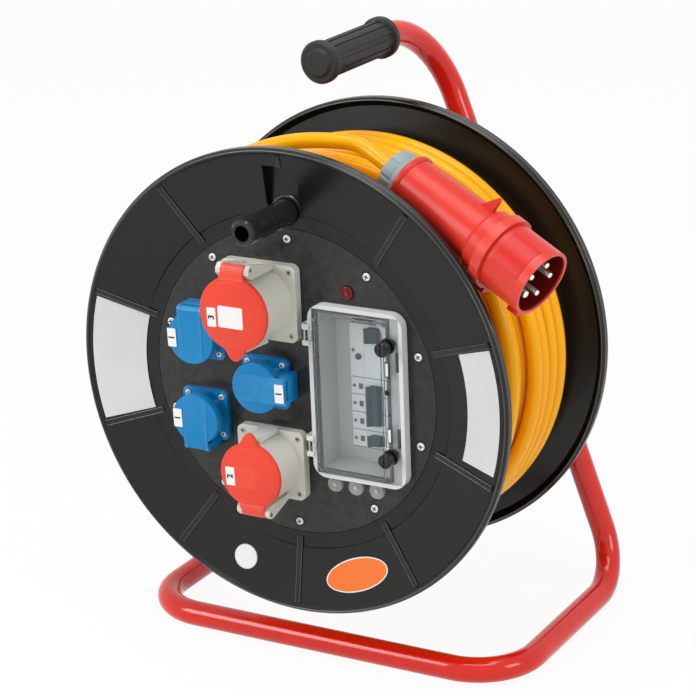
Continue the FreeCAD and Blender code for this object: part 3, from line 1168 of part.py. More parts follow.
# The core stands for the inner layers; the tube's first bend lies in a pocket of it
core = new_body("core", on_drum("0", "0", "0"))
CORE_FRONT = "(winding_rear - winding_pitch * winding_turn_count - cable_diameter / 2)"
core_front_radius = "(winding_front_radius - cable_diameter / 2 - core_spare)"
core_rear_radius = "(winding_rear_radius - cable_diameter / 2 - core_spare)"
revolve(core, draw(core, "core_outline", "YZ_Plane", [
    ("drum_width - %s - gap" % SEAT_BACK, "barrel_radius"), (SEAT_BACK + " + gap", "barrel_radius"),
    (SEAT_BACK + " + gap", core_front_radius), (CORE_FRONT, core_front_radius),
    ("winding_rear", core_rear_radius), ("drum_width - %s - gap" % SEAT_BACK, core_rear_radius)]))
room_path = Part.Wire([Part.LineSegment(entry - outward * number("overrun"), bend_start).toShape(),
    start_edges[1]]
                      + winding_edges[2:6])
core_room = doc.addObject("Part::Feature", "core_room")
core_room.Shape = swept(room_path, number("cable_diameter / 2 + core_spare"), int(number("cable_side_count")))
node("cable_core", cut("cable_core", core, core_room))
gland = bind(doc.addObject("Part::Cylinder", "cable_gland"), Radius="gland_radius", Height="gland_length")
gland.Placement = Placement(
    axis_point + outward * number("barrel_radius - barrel_wall - gland_length - 3 * gap"),
    Rotation(Vector(0, 0, 1), outward))
node("cable_gland", gland)

# Plug: a tapered body with a collar and an open shroud, a ribbed gland nut, and five pins in an insert
PLUG_SIZES = {
    "nut_length": 20, "nut_radius": 22, "nut_rib_count": 12, "nut_rib": 1, "plug_rim_end": 26,
    "plug_rim": 26.6, "plug_neck": 26, "plug_swell": 114, "plug_swell_radius": 28.5,
    "plug_shoulder": 118, "plug_shoulder_radius": 32, "collar_back": 130, "collar_front": 140,
    "collar_radius": 36, "shroud_radius": 32.5, "shroud_bore": 29.5, "plug_length": 186,
    "shroud_depth": 45, "pin_circle": 17, "plug_pin": 3, "plug_earth_pin": 3.8, "pin_drop": 10,
    "insert_height": 6, "fin_back": 97, "fin_front": 112, "fin_tip": 43, "fin_width": 5,
    "lug_back": 124, "lug_reach": 41, "lug_width": 15, "catch_back": 168, "catch_front": 180,
    "catch_reach": 38.5, "catch_width": 12,
}
sizes(PLUG_SIZES)
SHROUD_FLOOR = "(plug_length - shroud_depth)"


def on_plug(name):
    """A body along the plug's axis, from the back of the gland nut to the mouth."""
    return new_body(name, on_drum("plug_x", "plug_depth", "plug_z"), PLUG_TURN)


plug = on_plug("plug")
revolve(plug, draw(plug, "plug_outline", "YZ_Plane", [
    ("nut_length", "0"), ("nut_length", "plug_rim"), ("plug_rim_end", "plug_rim"),
    ("plug_rim_end", "plug_neck"),
    ("plug_swell", "plug_swell_radius"), ("plug_shoulder", "plug_shoulder_radius"),
    ("collar_back", "plug_shoulder_radius"), ("collar_back", "collar_radius"),
    ("collar_front", "collar_radius"), ("collar_front", "shroud_radius"), ("plug_length", "shroud_radius"),
    ("plug_length", "shroud_bore"), (SHROUD_FLOOR, "shroud_bore"), (SHROUD_FLOOR, "0")]))
fin = draw(plug, "plug_fin", "YZ_Plane", [
    ("fin_back", "plug_neck"), ("fin_front", "fin_tip"),
    ("fin_front + fin_width / 2", "fin_tip - fin_width / 2"),
    ("fin_front", "plug_neck")])
pad(plug, fin, "fin_width", both_ways=True)
lug = draw(plug, "plug_lug", "YZ_Plane", rectangle("lug_back", "-lug_reach", "collar_front", "-plug_neck"))
pad(plug, lug, "lug_width", both_ways=True)
catch = draw(plug, "plug_catch", "YZ_Plane", rectangle(
    "catch_back", "-catch_reach", "catch_front", "overrun / 2 - shroud_radius"))
pad(plug, catch, "catch_width", both_ways=True)
node("plug_body", plug)

nut = on_plug("nut")
revolve(nut, draw(nut, "nut_outline", "YZ_Plane", [
    ("0", "0"), ("0", "nut_radius - nut_rib"), ("nut_rib", "nut_radius"), ("nut_length", "nut_radius"),
    ("nut_length", "0")]))
nut_rib = draw(nut, "nut_rib_outline", "YZ_Plane", rectangle(
    "nut_rib", "nut_radius - nut_rib", "nut_length", "nut_radius + nut_rib"))
repeat(nut, pad(nut, nut_rib, "3 * nut_rib", both_ways=True), "nut_rib_count")
node("plug_gland_nut", nut)

pin_spots = []
for step in range(5):
    angle = math.radians(72 * step)
    pin_spots.append(("pin_circle * %.4f" % math.sin(angle), "pin_circle * %.4f" % -math.cos(angle),
                      "plug_pin" if step else "plug_earth_pin"))
insert = on_plug("plug_face")
revolve(insert, draw(insert, "plug_face_outline", "YZ_Plane", rectangle(
    SHROUD_FLOOR, "0", SHROUD_FLOOR + " + insert_height", "shroud_bore - gap")))
pin_holes = draw(insert, "plug_face_holes", "XZ_Plane", *[["circle", "-(%s)" % u, v, r] for u, v,
    r in pin_spots])
pocket(insert, pin_holes, "plug_length", backwards=False)
node("plug_insert", insert)
pins = on_plug("pins")
pins_outline = draw(pins, "pins_outline", "XZ_Plane", *[["circle", "-(%s)" % u, v, r] for u, v,
    r in pin_spots],
                    lift="-" + SHROUD_FLOOR)
pad(pins, pins_outline, "shroud_depth - pin_drop", backwards=True)
node("plug_pins", pins)

doc.recompute()
os.makedirs("parts", exist_ok=True)
for thing in doc.Objects:
    if "Invalid" in thing.State or "Error" in thing.State:
        raise RuntimeError("%s did not build: %s" % (thing.Label, thing.State))
for thing in nodes:
    if thing.Shape.isNull() or not thing.Shape.isValid() or not thing.Shape.Solids:
        raise RuntimeError("%s has no sound solid" % thing.Label)
    thing.Shape.exportStep("parts/%s.step" % thing.Label)
    print(thing.Label, len(thing.Shape.Solids), "solid, volume", round(thing.Shape.Volume))
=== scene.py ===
"""Extension cable reel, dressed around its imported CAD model. Lengths are in metres, in the model's frame.

Places on the drum are given in millimetres from the drum's own point, which is on its axis in the plane
of the front flange's edge: x to the right, y into the drum and z up.
"""

import math

import bmesh
import bpy
from mathutils import Matrix, Vector


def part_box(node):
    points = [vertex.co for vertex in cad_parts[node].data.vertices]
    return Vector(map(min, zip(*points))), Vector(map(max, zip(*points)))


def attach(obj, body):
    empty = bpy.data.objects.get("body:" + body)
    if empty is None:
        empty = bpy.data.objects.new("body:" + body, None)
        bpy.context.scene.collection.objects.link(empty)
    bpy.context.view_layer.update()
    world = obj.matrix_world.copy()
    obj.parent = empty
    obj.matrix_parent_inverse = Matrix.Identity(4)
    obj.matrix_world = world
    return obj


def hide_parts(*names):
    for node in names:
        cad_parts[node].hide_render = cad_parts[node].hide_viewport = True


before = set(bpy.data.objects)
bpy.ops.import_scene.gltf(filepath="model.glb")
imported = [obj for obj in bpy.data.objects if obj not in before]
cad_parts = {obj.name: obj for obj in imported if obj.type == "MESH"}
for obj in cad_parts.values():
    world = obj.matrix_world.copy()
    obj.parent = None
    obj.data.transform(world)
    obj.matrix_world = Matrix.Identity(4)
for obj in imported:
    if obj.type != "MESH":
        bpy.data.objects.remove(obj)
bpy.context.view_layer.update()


# Studio
# A camera where the reel was seen from, a pale floor and soft lights. The floor and the surroundings
# are white to the eye and to what glass and gloss reflect, and the floor keeps a faint shadow.
CAMERA_PLACE = (1.1405, -1.984, 1.072)
CAMERA_YAW, CAMERA_PITCH, CAMERA_ROLL = math.radians(30), math.radians(18.85), math.radians(2.23)
camera = bpy.data.objects.new("camera", bpy.data.cameras.new("camera"))
camera.data.sensor_width = 36
camera.data.lens = 127.54
camera.location = CAMERA_PLACE
camera.rotation_euler = (
    Matrix.Rotation(CAMERA_YAW, 3, "Z") @ Matrix.Rotation(math.pi / 2 - CAMERA_PITCH, 3, "X")
    @ Matrix.Rotation(-CAMERA_ROLL, 3, "Z")).to_euler()
bpy.context.scene.collection.objects.link(camera)
bpy.context.scene.camera = camera
bpy.context.scene.view_settings.view_transform = "Standard"


def soft_light(name, place, aim, size, power):
    """A square soft light at a place, turned to an aim."""
    lamp = bpy.data.lights.new(name, "AREA")
    lamp.size = size
    lamp.energy = power
    light = bpy.data.objects.new(name, lamp)
    light.location = place
    light.rotation_euler = (Vector(aim) - Vector(place)).to_track_quat("-Z", "Y").to_euler()
    bpy.context.scene.collection.objects.link(light)


REEL_MIDDLE = (0, 0, 0.3)
soft_light("light_left", (-2.1, -2.6, 2.0), REEL_MIDDLE, 1.6, 65)
soft_light("light_top", (0.3, -0.6, 3.4), REEL_MIDDLE, 2.0, 60)
soft_light("light_right", (3.2, -0.6, 1.6), REEL_MIDDLE, 1.2, 27)


def seen_and_reflected(tree):
    """One where a ray comes from the eye or through gloss or glass, and nought for light on the reel."""
    rays = tree.nodes.new("ShaderNodeLightPath")
    total = rays.outputs["Is Camera Ray"]
    for kind in ("Is Glossy Ray", "Is Transmission Ray"):
        added = tree.nodes.new("ShaderNodeMath")
        added.operation = "MAXIMUM"
        tree.links.new(total, added.inputs[0])
        tree.links.new(rays.outputs[kind], added.inputs[1])
        total = added.outputs[0]
    return total


surroundings = bpy.data.worlds.new("surroundings")
surroundings.use_nodes = True
bpy.context.scene.world = surroundings
sky = surroundings.node_tree
sky_light = sky.nodes["Background"]
sky_light.inputs["Color"].default_value = (1, 1, 1, 1)
sky_light.inputs["Strength"].default_value = 0.42
sky_seen = sky.nodes.new("ShaderNodeBackground")
sky_seen.inputs["Strength"].default_value = 1
sky_seen.inputs["Color"].default_value = (1, 1, 1, 1)
sky_mix = sky.nodes.new("ShaderNodeMixShader")
sky.links.new(seen_and_reflected(sky), sky_mix.inputs["Fac"])
sky.links.new(sky_light.outputs[0], sky_mix.inputs[1])
sky.links.new(sky_seen.outputs[0], sky_mix.inputs[2])
sky.links.new(sky_mix.outputs[0], sky.nodes["World Output"].inputs["Surface"])

FLOOR_HALF = 6
floor_mesh = bpy.data.meshes.new("floor")
floor_mesh.from_pydata([(x * FLOOR_HALF, y * FLOOR_HALF, 0) for x, y in ((-1, -1), (1, -1), (1, 1), (-1, 1))],
                       [], [(0, 1, 2, 3)])
floor = bpy.data.objects.new("floor", floor_mesh)
bpy.context.scene.collection.objects.link(floor)
floor_paint = bpy.data.materials.new("floor_paint")
floor_paint.use_nodes = True
tree = floor_paint.node_tree
matt = tree.nodes["Principled BSDF"]
matt.inputs["Base Color"].default_value = (0.86, 0.86, 0.86, 1)
matt.inputs["Roughness"].default_value = 0.7
matt.inputs["Specular IOR Level"].default_value = 0.1
glow = tree.nodes.new("ShaderNodeEmission")
glow.inputs["Strength"].default_value = 1
floor_share = tree.nodes.new("ShaderNodeMath")
floor_share.operation = "MULTIPLY"
floor_share.inputs[1].default_value = 0.93
tree.links.new(seen_and_reflected(tree), floor_share.inputs[0])
floor_mix = tree.nodes.new("ShaderNodeMixShader")
tree.links.new(floor_share.outputs[0], floor_mix.inputs["Fac"])
tree.links.new(matt.outputs[0], floor_mix.inputs[1])
tree.links.new(glow.outputs[0], floor_mix.inputs[2])
tree.links.new(floor_mix.outputs[0], tree.nodes["Material Output"].inputs["Surface"])
floor_mesh.materials.append(floor_paint)


# Cable
# Thirty metres of yellow rubber cable, 15 mm thick: two full layers wound to the front and back again,
# a third loosely over them, and a tail that rises across the front turns to the parked plug.
flange_low, flange_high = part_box("front_flange")
DRUM_POINT = Vector(((flange_low.x + flange_high.x) / 2, flange_low.y, (flange_low.z + flange_high.z) / 2))


def on_drum(x, y, z):
    """A place in millimetres from the drum's own point, in the frame's metres."""
    return DRUM_POINT + Vector((x, y, z)) / 1000


def colour(red, green, blue):
    """A screen colour, each part from 0 to 255, as the shader's own values."""
    return tuple((part / 255 / 12.92 if part < 11 else ((part / 255 + 0.055) / 1.055) ** 2.4)
                 for part in (red, green, blue)) + (1,)


def new_group(name, inputs, outputs):
    """An empty node group. An input has a name, a kind and a value, an output a name and a kind."""
    group = bpy.data.node_groups.new(name, "ShaderNodeTree")
    for label, kind, value in inputs:
        socket = group.interface.new_socket(name=label, in_out="INPUT", socket_type="NodeSocket" + kind)
        socket.default_value = value
    for label, kind in outputs:
        group.interface.new_socket(name=label, in_out="OUTPUT", socket_type="NodeSocket" + kind)
    return group, group.nodes.new("NodeGroupInput"), group.nodes.new("NodeGroupOutput")


def sum_node(tree, operation, first, second):
    """A Math node on two values, each a socket or a number."""
    node = tree.nodes.new("ShaderNodeMath")
    node.operation = operation
    for socket, value in zip(node.inputs, (first, second)):
        if isinstance(value, (int, float)):
            socket.default_value = value
        else:
            tree.links.new(value, socket)
    return node.outputs[0]


def tinted(tree, amount, first, second):
    """A mix of two colours by an amount, all sockets."""
    node = tree.nodes.new("ShaderNodeMix")
    node.data_type = "RGBA"
    tree.links.new(amount, node.inputs["Factor"])
    tree.links.new(first, node.inputs[6])
    tree.links.new(second, node.inputs[7])
    return node.outputs[2]


def noise(tree, scale, detail=2):
    """Even noise over the object, at a scale that is a socket or a number."""
    places = tree.nodes.new("ShaderNodeTexCoord")
    node = tree.nodes.new("ShaderNodeTexNoise")
    node.inputs["Detail"].default_value = detail
    tree.links.new(places.outputs["Object"], node.inputs["Vector"])
    if isinstance(scale, (int, float)):
        node.inputs["Scale"].default_value = scale
    else:
        tree.links.new(scale, node.inputs["Scale"])
    return node.outputs["Fac"]


# The skin of a moulding: its colour drifts a little, its gloss is uneven and its surface has a fine grain
MOULDED_SKIN, skin_in, skin_out = new_group(
    "moulded_skin",
    [("Colour", "Color", (0.5, 0.5, 0.5, 1)), ("Drifted Colour", "Color", (0.4, 0.4, 0.4, 1)),
     ("Roughness", "Float", 0.4), ("Gloss Drift", "Float", 0.1), ("Grain Scale", "Float", 900.0)],
    [("Colour", "Color"), ("Roughness", "Float"), ("Height", "Float")])
drifting = tinted(MOULDED_SKIN, noise(MOULDED_SKIN, 11, 3), skin_in.outputs["Colour"],
                  skin_in.outputs["Drifted Colour"])
MOULDED_SKIN.links.new(drifting, skin_out.inputs["Colour"])
smear = sum_node(MOULDED_SKIN, "SUBTRACT", noise(MOULDED_SKIN, 26, 4), 0.5)
smear = sum_node(MOULDED_SKIN, "MULTIPLY", smear, skin_in.outputs["Gloss Drift"])
MOULDED_SKIN.links.new(sum_node(MOULDED_SKIN, "ADD", smear, skin_in.outputs["Roughness"]),
                       skin_out.inputs["Roughness"])
MOULDED_SKIN.links.new(noise(MOULDED_SKIN, skin_in.outputs["Grain Scale"], 2), skin_out.inputs["Height"])

# Rubbed edges: a mask that is strong on sharp outer edges and broken up, so that they look handled
RUBBED_EDGES, edges_in, edges_out = new_group(
    "rubbed_edges",
    [("Colour", "Color", (0.5, 0.5, 0.5, 1)), ("Rubbed Colour", "Color", (0.7, 0.7, 0.7, 1)),
     ("Amount", "Float", 0.5)],
    [("Colour", "Color"), ("Mask", "Float")])
sharpness = RUBBED_EDGES.nodes.new("ShaderNodeNewGeometry").outputs["Pointiness"]
rub = RUBBED_EDGES.nodes.new("ShaderNodeMapRange")
rub.inputs["From Min"].default_value = 0.53
rub.inputs["From Max"].default_value = 0.64
RUBBED_EDGES.links.new(sharpness, rub.inputs["Value"])
broken = sum_node(RUBBED_EDGES, "MULTIPLY", rub.outputs["Result"], noise(RUBBED_EDGES, 140, 3))
broken = sum_node(RUBBED_EDGES, "MULTIPLY", broken, edges_in.outputs["Amount"])
RUBBED_EDGES.links.new(broken, edges_out.inputs["Mask"])
rubbed_through = tinted(RUBBED_EDGES, broken, edges_in.outputs["Colour"], edges_in.outputs["Rubbed Colour"])
RUBBED_EDGES.links.new(rubbed_through, edges_out.inputs["Colour"])


def skinned(name, base, drifted, roughness, gloss_drift, grain, depth):
    """A new material with the skin's gloss and grain. The skin's colour is still to be linked."""
    material = bpy.data.materials.new(name)
    material.use_nodes = True
    tree = material.node_tree
    shader = tree.nodes["Principled BSDF"]
    skin = tree.nodes.new("ShaderNodeGroup")
    skin.node_tree = MOULDED_SKIN
    skin.inputs["Colour"].default_value = base
    skin.inputs["Drifted Colour"].default_value = drifted
    skin.inputs["Roughness"].default_value = roughness
    skin.inputs["Gloss Drift"].default_value = gloss_drift
    skin.inputs["Grain Scale"].default_value = grain
    tree.links.new(skin.outputs["Roughness"], shader.inputs["Roughness"])
    bump = tree.nodes.new("ShaderNodeBump")
    bump.inputs["Distance"].default_value = depth
    tree.links.new(skin.outputs["Height"], bump.inputs["Height"])
    tree.links.new(bump.outputs["Normal"], shader.inputs["Normal"])
    return material, shader, skin


def moulded(name, base, drifted, roughness, grain=900, depth=0.00002, gloss_drift=0.1, rubbed=None,
            amount=0.4, metallic=0, specular=0.28):
    """A solid moulded or painted finish: the skin's colour, gloss and grain, with its edges rubbed."""
    material, shader, skin = skinned(name, base, drifted, roughness, gloss_drift, grain, depth)
    tree = material.node_tree
    edges = tree.nodes.new("ShaderNodeGroup")
    edges.node_tree = RUBBED_EDGES
    edges.inputs["Rubbed Colour"].default_value = rubbed or base
    edges.inputs["Amount"].default_value = amount
    tree.links.new(skin.outputs["Colour"], edges.inputs["Colour"])
    tree.links.new(edges.outputs["Colour"], shader.inputs["Base Color"])
    shader.inputs["Metallic"].default_value = metallic
    shader.inputs["Specular IOR Level"].default_value = specular
    return material


def dress(material, *nodes):
    """Give CAD nodes a material."""
    for name in nodes:
        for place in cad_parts[name].material_slots:
            place.material = material


CABLE_YELLOW = moulded("cable_rubber", colour(252, 182, 0), colour(246, 166, 0), 0.22, grain=420,
                       depth=0.00005, gloss_drift=0.16, specular=0.24)
CABLE_THICK = 15
EXIT_ANGLE, EXIT_RADIUS, EXIT_DEPTH = 351, 158.5, 194.5
LAYER_RADII = (165.7, 181.0, 196.3)
LAYER_TURNS = (10.6, 10.3)
STEP_UP = 40
FRONT_DEPTH, REAR_DEPTH = 30.4, 195.4
# Angles from the bush at which the cable has risen to its layer and has met the rear flange
BEDDED, AT_REAR, FIRST_DEPTH = 35, 60, 192
LAST_DEPTH, TAIL_DEPTH = 118, 31
# How far a layer strays along the drum, how often in a turn, from where, and how long it fades in and out
SECOND_STRAY = (0.35, 2.3, 40, 300, 300)
THIRD_STRAY = (1.3, 1.37, 0, 300, 200)
TURNS_TO_TAIL = 26
TAIL_ANGLE = 165
POINT_STEP = 15
# How far a spline of such points runs inside them, as a share of its radius
SPLINE_SHARE = 0.9915
# The tail's places over the front turns: angle, radius and depth
TAIL = ((150, 199, 30.5), (138, 202, 31.5), (126, 207, 35), (115, 213, 42), (104, 219, 50.5), (94, 223, 59),
        (85, 225, 66))
PLUG_PLACE = Vector((86.3, 64, 203))
PLUG_WAY = Vector((0.8840, -0.1805, -0.4312))
TAIL_RUN = (-45, -20, 8)


def between(stations, angle):
    """A value read off a list of (angle, value) stations."""
    for (before, low), (after, high) in zip(stations, stations[1:]):
        if angle <= after:
            return low + (high - low) * (angle - before) / (after - before)
    return stations[-1][1]


def swell(share):
    """A smooth rise from nought to one."""
    share = min(1, max(0, share))
    return share * share * (3 - 2 * share)


def round_drum(degrees, radius, depth):
    """A place on the drum at an angle, a radius and a depth."""
    return Vector((radius * math.cos(math.radians(degrees)), depth, radius * math.sin(math.radians(degrees))))


def stray(angle, start, end, reach, rate, shift, fade_in, fade_out):
    """How far a layer's turns stray along the drum at an angle, with none at its start and end."""
    loose = swell((angle - start) / fade_in) * swell((end - angle) / fade_out)
    return reach * math.sin(math.radians(angle * rate + shift)) * loose


def cable_route():
    """The cable's points, in millimetres from the drum's own point."""
    front_turn = LAYER_TURNS[0] * 360
    second = front_turn + STEP_UP
    rear_turn = second + LAYER_TURNS[1] * 360
    third = rear_turn + STEP_UP
    end = EXIT_ANGLE - TAIL_ANGLE + TURNS_TO_TAIL * 360
    last_turn = end - 360
    low, middle, high = LAYER_RADII
    radii = ((0, EXIT_RADIUS), (BEDDED, low), (front_turn, low), (second, middle), (rear_turn, middle),
             (third, high), (end, high))
    depths = ((0, EXIT_DEPTH), (AT_REAR, FIRST_DEPTH), (front_turn, FRONT_DEPTH), (second, FRONT_DEPTH),
              (rear_turn, REAR_DEPTH), (third, REAR_DEPTH), (last_turn, LAST_DEPTH), (end, TAIL_DEPTH))
    points = []
    for step in range(int(end / POINT_STEP) + 1):
        angle = step * POINT_STEP
        depth = between(depths, angle)
        depth += stray(angle, third, last_turn, *THIRD_STRAY)
        depth += stray(angle, second, rear_turn, *SECOND_STRAY)
        points.append(round_drum(EXIT_ANGLE - angle, between(radii, angle) / SPLINE_SHARE, depth))
    points[0] = round_drum(EXIT_ANGLE, EXIT_RADIUS, EXIT_DEPTH)
    points += [round_drum(*place) for place in TAIL]
    points += [PLUG_PLACE + PLUG_WAY * run for run in TAIL_RUN]
    return points


cable_places = [on_drum(*place) for place in cable_route()]
cable_curve = bpy.data.curves.new("cable", "CURVE")
cable_curve.dimensions = "3D"
line = cable_curve.splines.new("NURBS")
line.points.add(len(cable_places) - 1)
for knot, place in zip(line.points, cable_places):
    knot.co = (*place, 1)
line.order_u = 3
line.use_endpoint_u = True
line.resolution_u = 5
cable_curve.bevel_depth = CABLE_THICK / 2000
cable_curve.bevel_resolution = 4
cable_curve.materials.append(CABLE_YELLOW)
cable = bpy.data.objects.new("cable", cable_curve)
bpy.context.scene.collection.objects.link(cable)
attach(cable, "drum")
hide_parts("cable_winding", "cable_core")


def mesh_piece(name, mesh, material, body, sharp=32):
    """A finished bmesh as a piece of the drum or of a part on it, smooth but for its sharp edges."""
    bmesh.ops.remove_doubles(mesh, verts=mesh.verts, dist=1e-7)
    bmesh.ops.recalc_face_normals(mesh, faces=mesh.faces)
    data = bpy.data.meshes.new(name)
    mesh.to_mesh(data)
    mesh.free()
    data.materials.append(material)
    data.shade_smooth()
    data.set_sharp_from_angle(angle=math.radians(sharp))
    piece = bpy.data.objects.new(name, data)
    bpy.context.scene.collection.objects.link(piece)
    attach(piece, body)
    return piece


def join_rings(mesh, rings):
    """Close the faces between each ring of vertices and the next."""
    for first, second in zip(rings, rings[1:]):
        for side in range(len(first)):
            after = (side + 1) % len(first)
            mesh.faces.new((first[side], first[after], second[after], second[side]))


# Cable bush
# A tapered rubber sleeve on the cable where it comes out of the barrel, pushed into the hole.
BUSH_BLACK = moulded("bush_rubber", colour(44, 44, 42), colour(36, 36, 34), 0.6, grain=700)
BUSH_LENGTH, BUSH_WIDE, BUSH_NARROW, BUSH_GROOVE, BUSH_SIDES, BUSH_RINGS = 30, 8.6, 7.8, 0.25, 24, 6
bush_mesh = bmesh.new()
bush_start, bush_way = cable_places[0], (cable_places[1] - cable_places[0]).normalized()
bush_bend = (cable_places[2] - cable_places[1]).normalized() - bush_way
bush_across = bush_way.cross(Vector((0, 1, 0))).normalized()
bush_up = bush_way.cross(bush_across)
rings = []
for ring in range(BUSH_RINGS + 1):
    share = ring / BUSH_RINGS
    middle = bush_start + bush_way * share * BUSH_LENGTH / 1000 + bush_bend * share ** 2 * BUSH_LENGTH / 4000
    wide = (BUSH_WIDE + (BUSH_NARROW - BUSH_WIDE) * share - (BUSH_GROOVE if ring % 2 else 0)) / 1000
    rings.append([bush_mesh.verts.new(
        middle + (bush_across * math.cos(turn) + bush_up * math.sin(turn)) * wide)
        for turn in (2 * math.pi * side / BUSH_SIDES for side in range(BUSH_SIDES))])
join_rings(bush_mesh, rings)
bush_mesh.faces.new(rings[0])
bush_mesh.faces.new(rings[-1])
cable_bush = mesh_piece("cable_bush", bush_mesh, BUSH_BLACK, "drum")


# Stand
# One steel tube bent round the floor and up to the grip, and a second that leans from the other foot
# and is welded to it behind the drum. Both are powder coated in one gloss red.
STAND_RED = moulded("stand_powder_coat", colour(228, 36, 14), colour(206, 22, 8), 0.14, grain=260,
                    depth=0.00003, gloss_drift=0.08, rubbed=colour(232, 96, 80), amount=0.3, specular=0.45)
dress(STAND_RED, "base_tube", "right_leg_tube", "left_leg_tube")


# Axle
# A turned steel axle welded to the leg, with a spacer, a washer and a cross pin that keep the drum on.
STEEL = moulded("zinc_steel", colour(196, 196, 192), colour(176, 176, 172), 0.34, grain=1500, metallic=1,
                rubbed=colour(225, 225, 222), amount=0.6)
dress(STEEL, "axle", "axle_spacer", "axle_washer", "axle_pin")


# Grip
# A ribbed rubber sleeve pushed on the tube's end, with a collar at each end.
GRIP_BLACK = moulded("grip_rubber", colour(42, 42, 38), colour(34, 34, 31), 0.5, grain=600, depth=0.00005,
                     rubbed=colour(82, 82, 77), amount=0.5)
dress(GRIP_BLACK, "handle_grip")


# Drum
# Two flanges, a barrel and the panel that closes the front, all moulded in one tough black plastic.
# The flanges' dished faces are finely textured and their rims are polished by handling.
DRUM_BLACK = moulded("drum_plastic", colour(20, 21, 19), colour(15, 16, 14), 0.24, grain=1100, depth=0.000012,
                     gloss_drift=0.12, rubbed=colour(92, 93, 90), amount=0.5, specular=0.34)
dress(DRUM_BLACK, "front_flange", "rear_flange", "drum_barrel", "front_panel")
RIM_BLACK = moulded("rim_polish", colour(34, 35, 33), colour(28, 29, 27), 0.1, grain=1100, depth=0.000005,
                    rubbed=colour(92, 93, 90), amount=0.5, specular=0.8)
RIM_SIDES, BEAD_RADIUS, BEAD_SIDES = 240, 0.8, 10
for key, bead_circle, bead_depth in (("front", 227, 0.2), ("front_outer", 229.6, 3.2), ("rear", 227, 214.2),
                                     ("rear_outer", 229.6, 217)):
    bead_mesh = bmesh.new()
    bead_rings = [[bead_mesh.verts.new(on_drum(*round_drum(
        360 * side / RIM_SIDES, bead_circle + BEAD_RADIUS * math.cos(2 * math.pi * corner / BEAD_SIDES),
        bead_depth + BEAD_RADIUS * math.sin(2 * math.pi * corner / BEAD_SIDES))))
        for corner in range(BEAD_SIDES)] for side in range(RIM_SIDES)]
    join_rings(bead_mesh, bead_rings + bead_rings[:1])
    mesh_piece("rim_bead_" + key, bead_mesh, RIM_BLACK, "drum", 80)

DISH_INNER, DISH_OUTER, DISH_DEEP, DISH_SHALLOW = 156, 223.6, 13, 1.6


def dish_depth(radius):
    """Depth of the flange's dished face at a radius."""
    return DISH_DEEP - (DISH_DEEP - DISH_SHALLOW) * (radius - DISH_INNER) / (DISH_OUTER - DISH_INNER)


RIB_HALF, RIB_RISE, RIB_START, RIB_END, RIB_ANGLES = 2.5, 0.8, 157.5, 222, range(126, 450, 36)
RIB_EDGE, RIB_EDGE_SIDES = 0.45, 8
ribs_mesh = bmesh.new()
for rib_angle in RIB_ANGLES:
    for aside in (-RIB_HALF, RIB_HALF):
        ends = []
        for along in (RIB_START, RIB_END):
            middle = round_drum(rib_angle, along, dish_depth(along) - RIB_RISE)
            ends.append([])
            for corner in range(RIB_EDGE_SIDES):
                turn = 2 * math.pi * corner / RIB_EDGE_SIDES
                place = middle + round_drum(rib_angle + 90, aside + RIB_EDGE * math.sin(turn),
                                            -RIB_EDGE * math.cos(turn))
                ends[-1].append(ribs_mesh.verts.new(on_drum(*place)))
        join_rings(ribs_mesh, ends)
        ribs_mesh.faces.new(ends[0])
        ribs_mesh.faces.new(ends[1])
mesh_piece("rib_edges", ribs_mesh, RIM_BLACK, "drum", 80)


# Hub
# A steel sleeve bolted through the rear flange, with two nylon bushes that turn on the axle, and the
# cable's gland nut in the barrel.
NYLON = moulded("nylon", colour(226, 224, 212), colour(214, 211, 196), 0.4, grain=500)
dress(STEEL, "hub_sleeve", "hub_bolt_heads")
dress(NYLON, "hub_bushes", "terminal_block", "thermal_cutout", "cable_gland")


# Crank knob
# A hollow black grip that spins on a bolt through the floor of the flange's recess.
KNOB_BLACK = moulded("knob_plastic", colour(13, 14, 13), colour(9, 10, 9), 0.16, grain=900,
                     rubbed=colour(104, 104, 102), amount=0.7, specular=0.45)
dress(KNOB_BLACK, "crank_knob")
dress(STEEL, "knob_bolt")


# Panel screws
# Ten bright cross-head screws round the panel's edge, each ringed by a dark ring of painted shade for the
# small dimple it sinks in, and the round collar that the crank knob's foot stands in.
SCREW_BRIGHT = moulded("screw_bright", colour(236, 236, 232), colour(220, 220, 216), 0.3, grain=1500,
                       metallic=0.3, rubbed=colour(240, 240, 238), amount=0.6)
# A near black that paints the shade in the screws' dimples and cross recesses; the warning lamp's ring is in
# it too
SHADE_BLACK = moulded("dimple_shade", colour(18, 18, 17), colour(14, 14, 13), 0.6)
PANEL_DEPTH = 13
KNOB_COLLAR = ((-0.3, 16.7), (1.1, 16.6), (1.8, 15.9), (1.9, 15), (1.6, 13.6), (0.3, 13.2), (-0.3, 13.2))
KNOB_FOOT = (0, 15.5, 167)
SCREW_CIRCLE, SCREW_COUNT, SCREW_SIDES = 141.2, 10, 28
# Each screw was driven to a turn of its own
FIRST_SCREW_TURN, NEXT_SCREW_TURN = 17, 37
PAN_HEAD = ((1, 0), (1, 0.35), (0.94, 0.7), (0.84, 0.92), (0.72, 1))
DIMPLE_SHADE_RING = ((0.05, 5.1), (0.3, 5.0), (0.4, 4.6), (0.12, 4.1))
CROSS = ((1, 4), (1, 1), (4, 1), (4, -1), (1, -1), (1, -4),
         (-1, -4), (-1, -1), (-4, -1), (-4, 1), (-1, 1), (-1, 4))


def facing(x, depth, z, turn=0):
    """Stand shapes on a plane that faces the front: u and v turned in it, and a rise from it."""
    def stand(u, v, rise):
        return on_drum(x + u * math.cos(turn) - v * math.sin(turn), depth - rise,
                       z + u * math.sin(turn) + v * math.cos(turn))
    return stand


